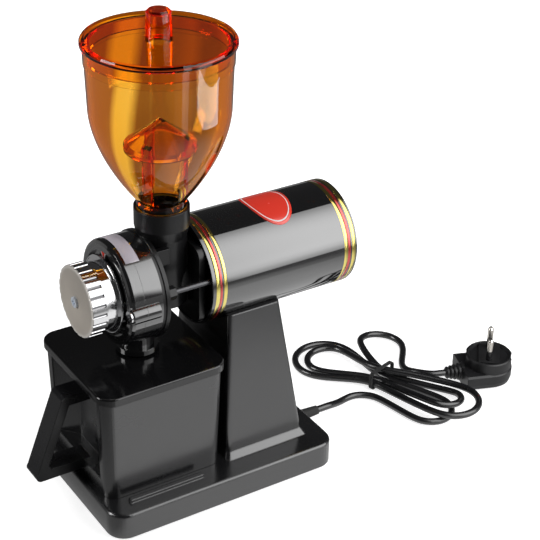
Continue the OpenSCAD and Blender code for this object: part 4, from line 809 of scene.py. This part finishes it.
class GRINDER_OT_stage(bpy.types.Operator):
    """Pale floor, soft lamps and a dim room"""

    bl_idname = "grinder.stage"
    bl_label = "Stage"

    def execute(self, context):
        scene = context.scene
        scene.view_settings.view_transform = "Standard"
        corners = [(x * FLOOR_HALF, y * FLOOR_HALF, 0) for x, y in ((-1, -1), (1, -1), (1, 1), (-1, 1))]
        floor = bpy.data.objects.new("floor", mesh_from("floor", corners, [(0, 1, 2, 3)]))
        scene.collection.objects.link(floor)
        floor.data.materials.append(self.floor_material())
        self.panel()
        front = self.lamp("front_softbox", width=0.5, height=0.9, power=10)
        self.aim(front, place=(-0.45, -1.25, 0.75), target=(0, 0, 0.18))
        left = self.lamp("left_strip", width=0.25, height=0.9, power=5)
        self.aim(left, place=(-0.95, 0.15, 0.75), target=(0, 0, 0.25))
        left.visible_glossy = False
        card = self.lamp("hopper_card", width=0.40, height=0.045, power=0.26)
        self.aim(card, place=(0.345, 0.39, 0.054), target=(0.047, -0.007, 0.31))
        self.only_on_hopper(card)
        self.world(scene)
        return {"FINISHED"}

    def lamp(self, name, width, height, power):
        """A rectangular lamp that the camera doesn't see"""
        light = bpy.data.lights.new(name, "AREA")
        light.shape = "RECTANGLE"
        light.size, light.size_y = width, height
        light.energy = power
        holder = bpy.data.objects.new(name, light)
        bpy.context.scene.collection.objects.link(holder)
        holder.visible_camera = False
        return holder

    def aim(self, holder, place, target):
        holder.location = place
        holder.rotation_euler = (Vector(target) - Vector(place)).to_track_quat("-Z", "Y").to_euler()

    def only_on_hopper(self, holder):
        """Keeps a lamp's light to the hopper's clear pieces"""
        lit = bpy.data.collections.new("hopper_only")
        for piece in (bpy.data.objects["hopper_bowl"], NODES["hopper_guard"], NODES["hopper_lid"]):
            lit.objects.link(piece)
        holder.light_linking.receiver_collection = lit

    def panel(self):
        """A soft panel that leans over the grinder's right side"""
        low, high = (Vector((x, 0, z)) for x, z in (PANEL_LOW, PANEL_HIGH))
        lean = high - low
        long, wide = lean.length, PANEL_ALONG[1] - PANEL_ALONG[0]
        middle = (low + high) / 2
        middle.y = sum(PANEL_ALONG) / 2
        holder = self.lamp("right_panel", wide, long, PANEL_BRIGHT * math.pi * long * wide)
        up, across = lean.normalized(), Vector((0, 1, 0))
        turn = Matrix((across, up, across.cross(up))).transposed()
        holder.matrix_world = Matrix.Translation(middle) @ turn.to_4x4()
        holder.visible_transmission = False
        self.grade(holder.data)

    def grade(self, light):
        """Makes a panel brightest in the middle, with a dark gap low down near its front edge"""
        light.use_nodes = True
        tree = light.node_tree
        place = tree.nodes.new("ShaderNodeNewGeometry").outputs["Position"]
        at = axes(tree, place)
        corner = vector_sums(tree, "DOT_PRODUCT", place, PANEL_GAP_SLOPE)
        level = sums(tree, "MAXIMUM", fade(tree, corner, *PANEL_GAP), fade(tree, at["Y"], *PANEL_GAP_END))
        for axis, ends in (("Z", PANEL_TOP), ("Z", PANEL_FOOT), ("Y", PANEL_FRONT)):
            level = sums(tree, "MULTIPLY", level, fade(tree, at[axis], *ends))
        tree.links.new(level, tree.nodes["Emission"].inputs["Strength"])

    def pool(self, tree, place):
        """Light on the floor beside the grinder, as its faces reflect it"""
        at = axes(tree, place)
        near = fade(tree, vector_sums(tree, "DISTANCE", place, POOL_AT), *POOL_REACH)
        level = sums(tree, "MULTIPLY", near, fade(tree, at["Y"], *POOL_FRONT))
        return sums(tree, "MAXIMUM", level, fade(tree, at["X"], *POOL_LEFT))

    def flats(self, tree, place):
        """Pale and warm grey bands behind the grinder, as the hopper shows them"""
        across = vector_sums(tree, "DOT_PRODUCT", place, FLATS_WAY)
        bands = tree.nodes.new("ShaderNodeValToRGB")
        ramp = bands.color_ramp
        while len(ramp.elements) < len(FLATS_STOPS):
            ramp.elements.new(0.5)
        for element, (at, level, colour) in zip(ramp.elements, FLATS_STOPS):
            element.position = at
            element.color = (*(level * part for part in colour), 1)
        tree.links.new(fade(tree, across, *FLATS_SPAN, "LINEAR"), bands.inputs["Fac"])
        return bands.outputs["Color"]

    def floor_material(self):
        """White to the camera with a soft shadow, and a lit room to the pieces that mirror or show it"""
        material = bpy.data.materials.new("pale_floor")
        material.use_nodes = True
        tree = material.node_tree
        tree.nodes.clear()
        place = on_object(tree)
        path = tree.nodes.new("ShaderNodeLightPath")
        matt = tree.nodes.new("ShaderNodeBsdfDiffuse")
        matt.inputs["Color"].default_value = FLOOR_TONE
        lift = tree.nodes.new("ShaderNodeEmission")
        tree.links.new(path.outputs["Is Camera Ray"], lift.inputs["Strength"])
        away = vector_sums(tree, "LENGTH", place)
        tree.links.new(fade(tree, away, *FLOOR_LIFT), lift.inputs["Color"])
        shown = tree.nodes.new("ShaderNodeAddShader")
        tree.links.new(matt.outputs[0], shown.inputs[0])
        tree.links.new(lift.outputs[0], shown.inputs[1])
        result = shown.outputs[0]
        rays = {"Is Glossy Ray": self.pool(tree, place), "Is Transmission Ray": self.flats(tree, place)}
        for ray, level in rays.items():
            glow = tree.nodes.new("ShaderNodeEmission")
            tree.links.new(level, glow.inputs["Color"])
            swap = tree.nodes.new("ShaderNodeMixShader")
            tree.links.new(path.outputs[ray], swap.inputs["Fac"])
            tree.links.new(result, swap.inputs[1])
            tree.links.new(glow.outputs[0], swap.inputs[2])
            result = swap.outputs[0]
        out = tree.nodes.new("ShaderNodeOutputMaterial")
        tree.links.new(result, out.inputs["Surface"])
        return material

    def world(self, scene):
        """A dim room, white to the camera and paler low down through the hopper"""
        world = bpy.data.worlds.new("dim_room")
        world.use_nodes = True
        scene.world = world
        tree = world.node_tree
        path = tree.nodes.new("ShaderNodeLightPath").outputs
        height = axes(tree, tree.nodes.new("ShaderNodeTexCoord").outputs["Generated"])["Z"]
        seen = sums(tree, "MULTIPLY_ADD", path["Is Camera Ray"], 1 - ROOM_LEVEL, ROOM_LEVEL)
        through = fade(tree, height, *ROOM_THROUGH)
        level = sums(tree, "MULTIPLY_ADD", path["Is Transmission Ray"], through, seen)
        sky = tree.nodes["Background"]
        sky.inputs["Color"].default_value = (1, 1, 1, 1)
        tree.links.new(level, sky.inputs["Strength"])


class GRINDER_PT_panel(bpy.types.Panel):
    """Lists the steps that dress the grinder"""

    bl_label = "Coffee grinder"
    bl_idname = "GRINDER_PT_panel"
    bl_space_type = "VIEW_3D"
    bl_region_type = "UI"
    bl_category = "Grinder"

    def draw(self, context):
        for prop in GRINDER_PG_looks.__annotations__:
            self.layout.prop(context.scene.grinder_looks, prop)
        for operator in STEPS:
            self.layout.operator(operator.bl_idname)


STEPS = [GRINDER_OT_camera, GRINDER_OT_lead, GRINDER_OT_finishes, GRINDER_OT_bowl, GRINDER_OT_barrel_lines,
         GRINDER_OT_badge, GRINDER_OT_head_trim, GRINDER_OT_stage]
CLASSES = [GRINDER_PG_looks, *STEPS, GRINDER_PT_panel]


def register():
    for one in CLASSES:
        bpy.utils.register_class(one)
    bpy.types.Scene.grinder_looks = PointerProperty(type=GRINDER_PG_looks)


def unregister():
    del bpy.types.Scene.grinder_looks
    for one in reversed(CLASSES):
        bpy.utils.unregister_class(one)


def main():
    register()
    for step in STEPS:
        group, name = step.bl_idname.split(".")
        getattr(getattr(bpy.ops, group), name)()


if __name__ == "__main__":
    main()
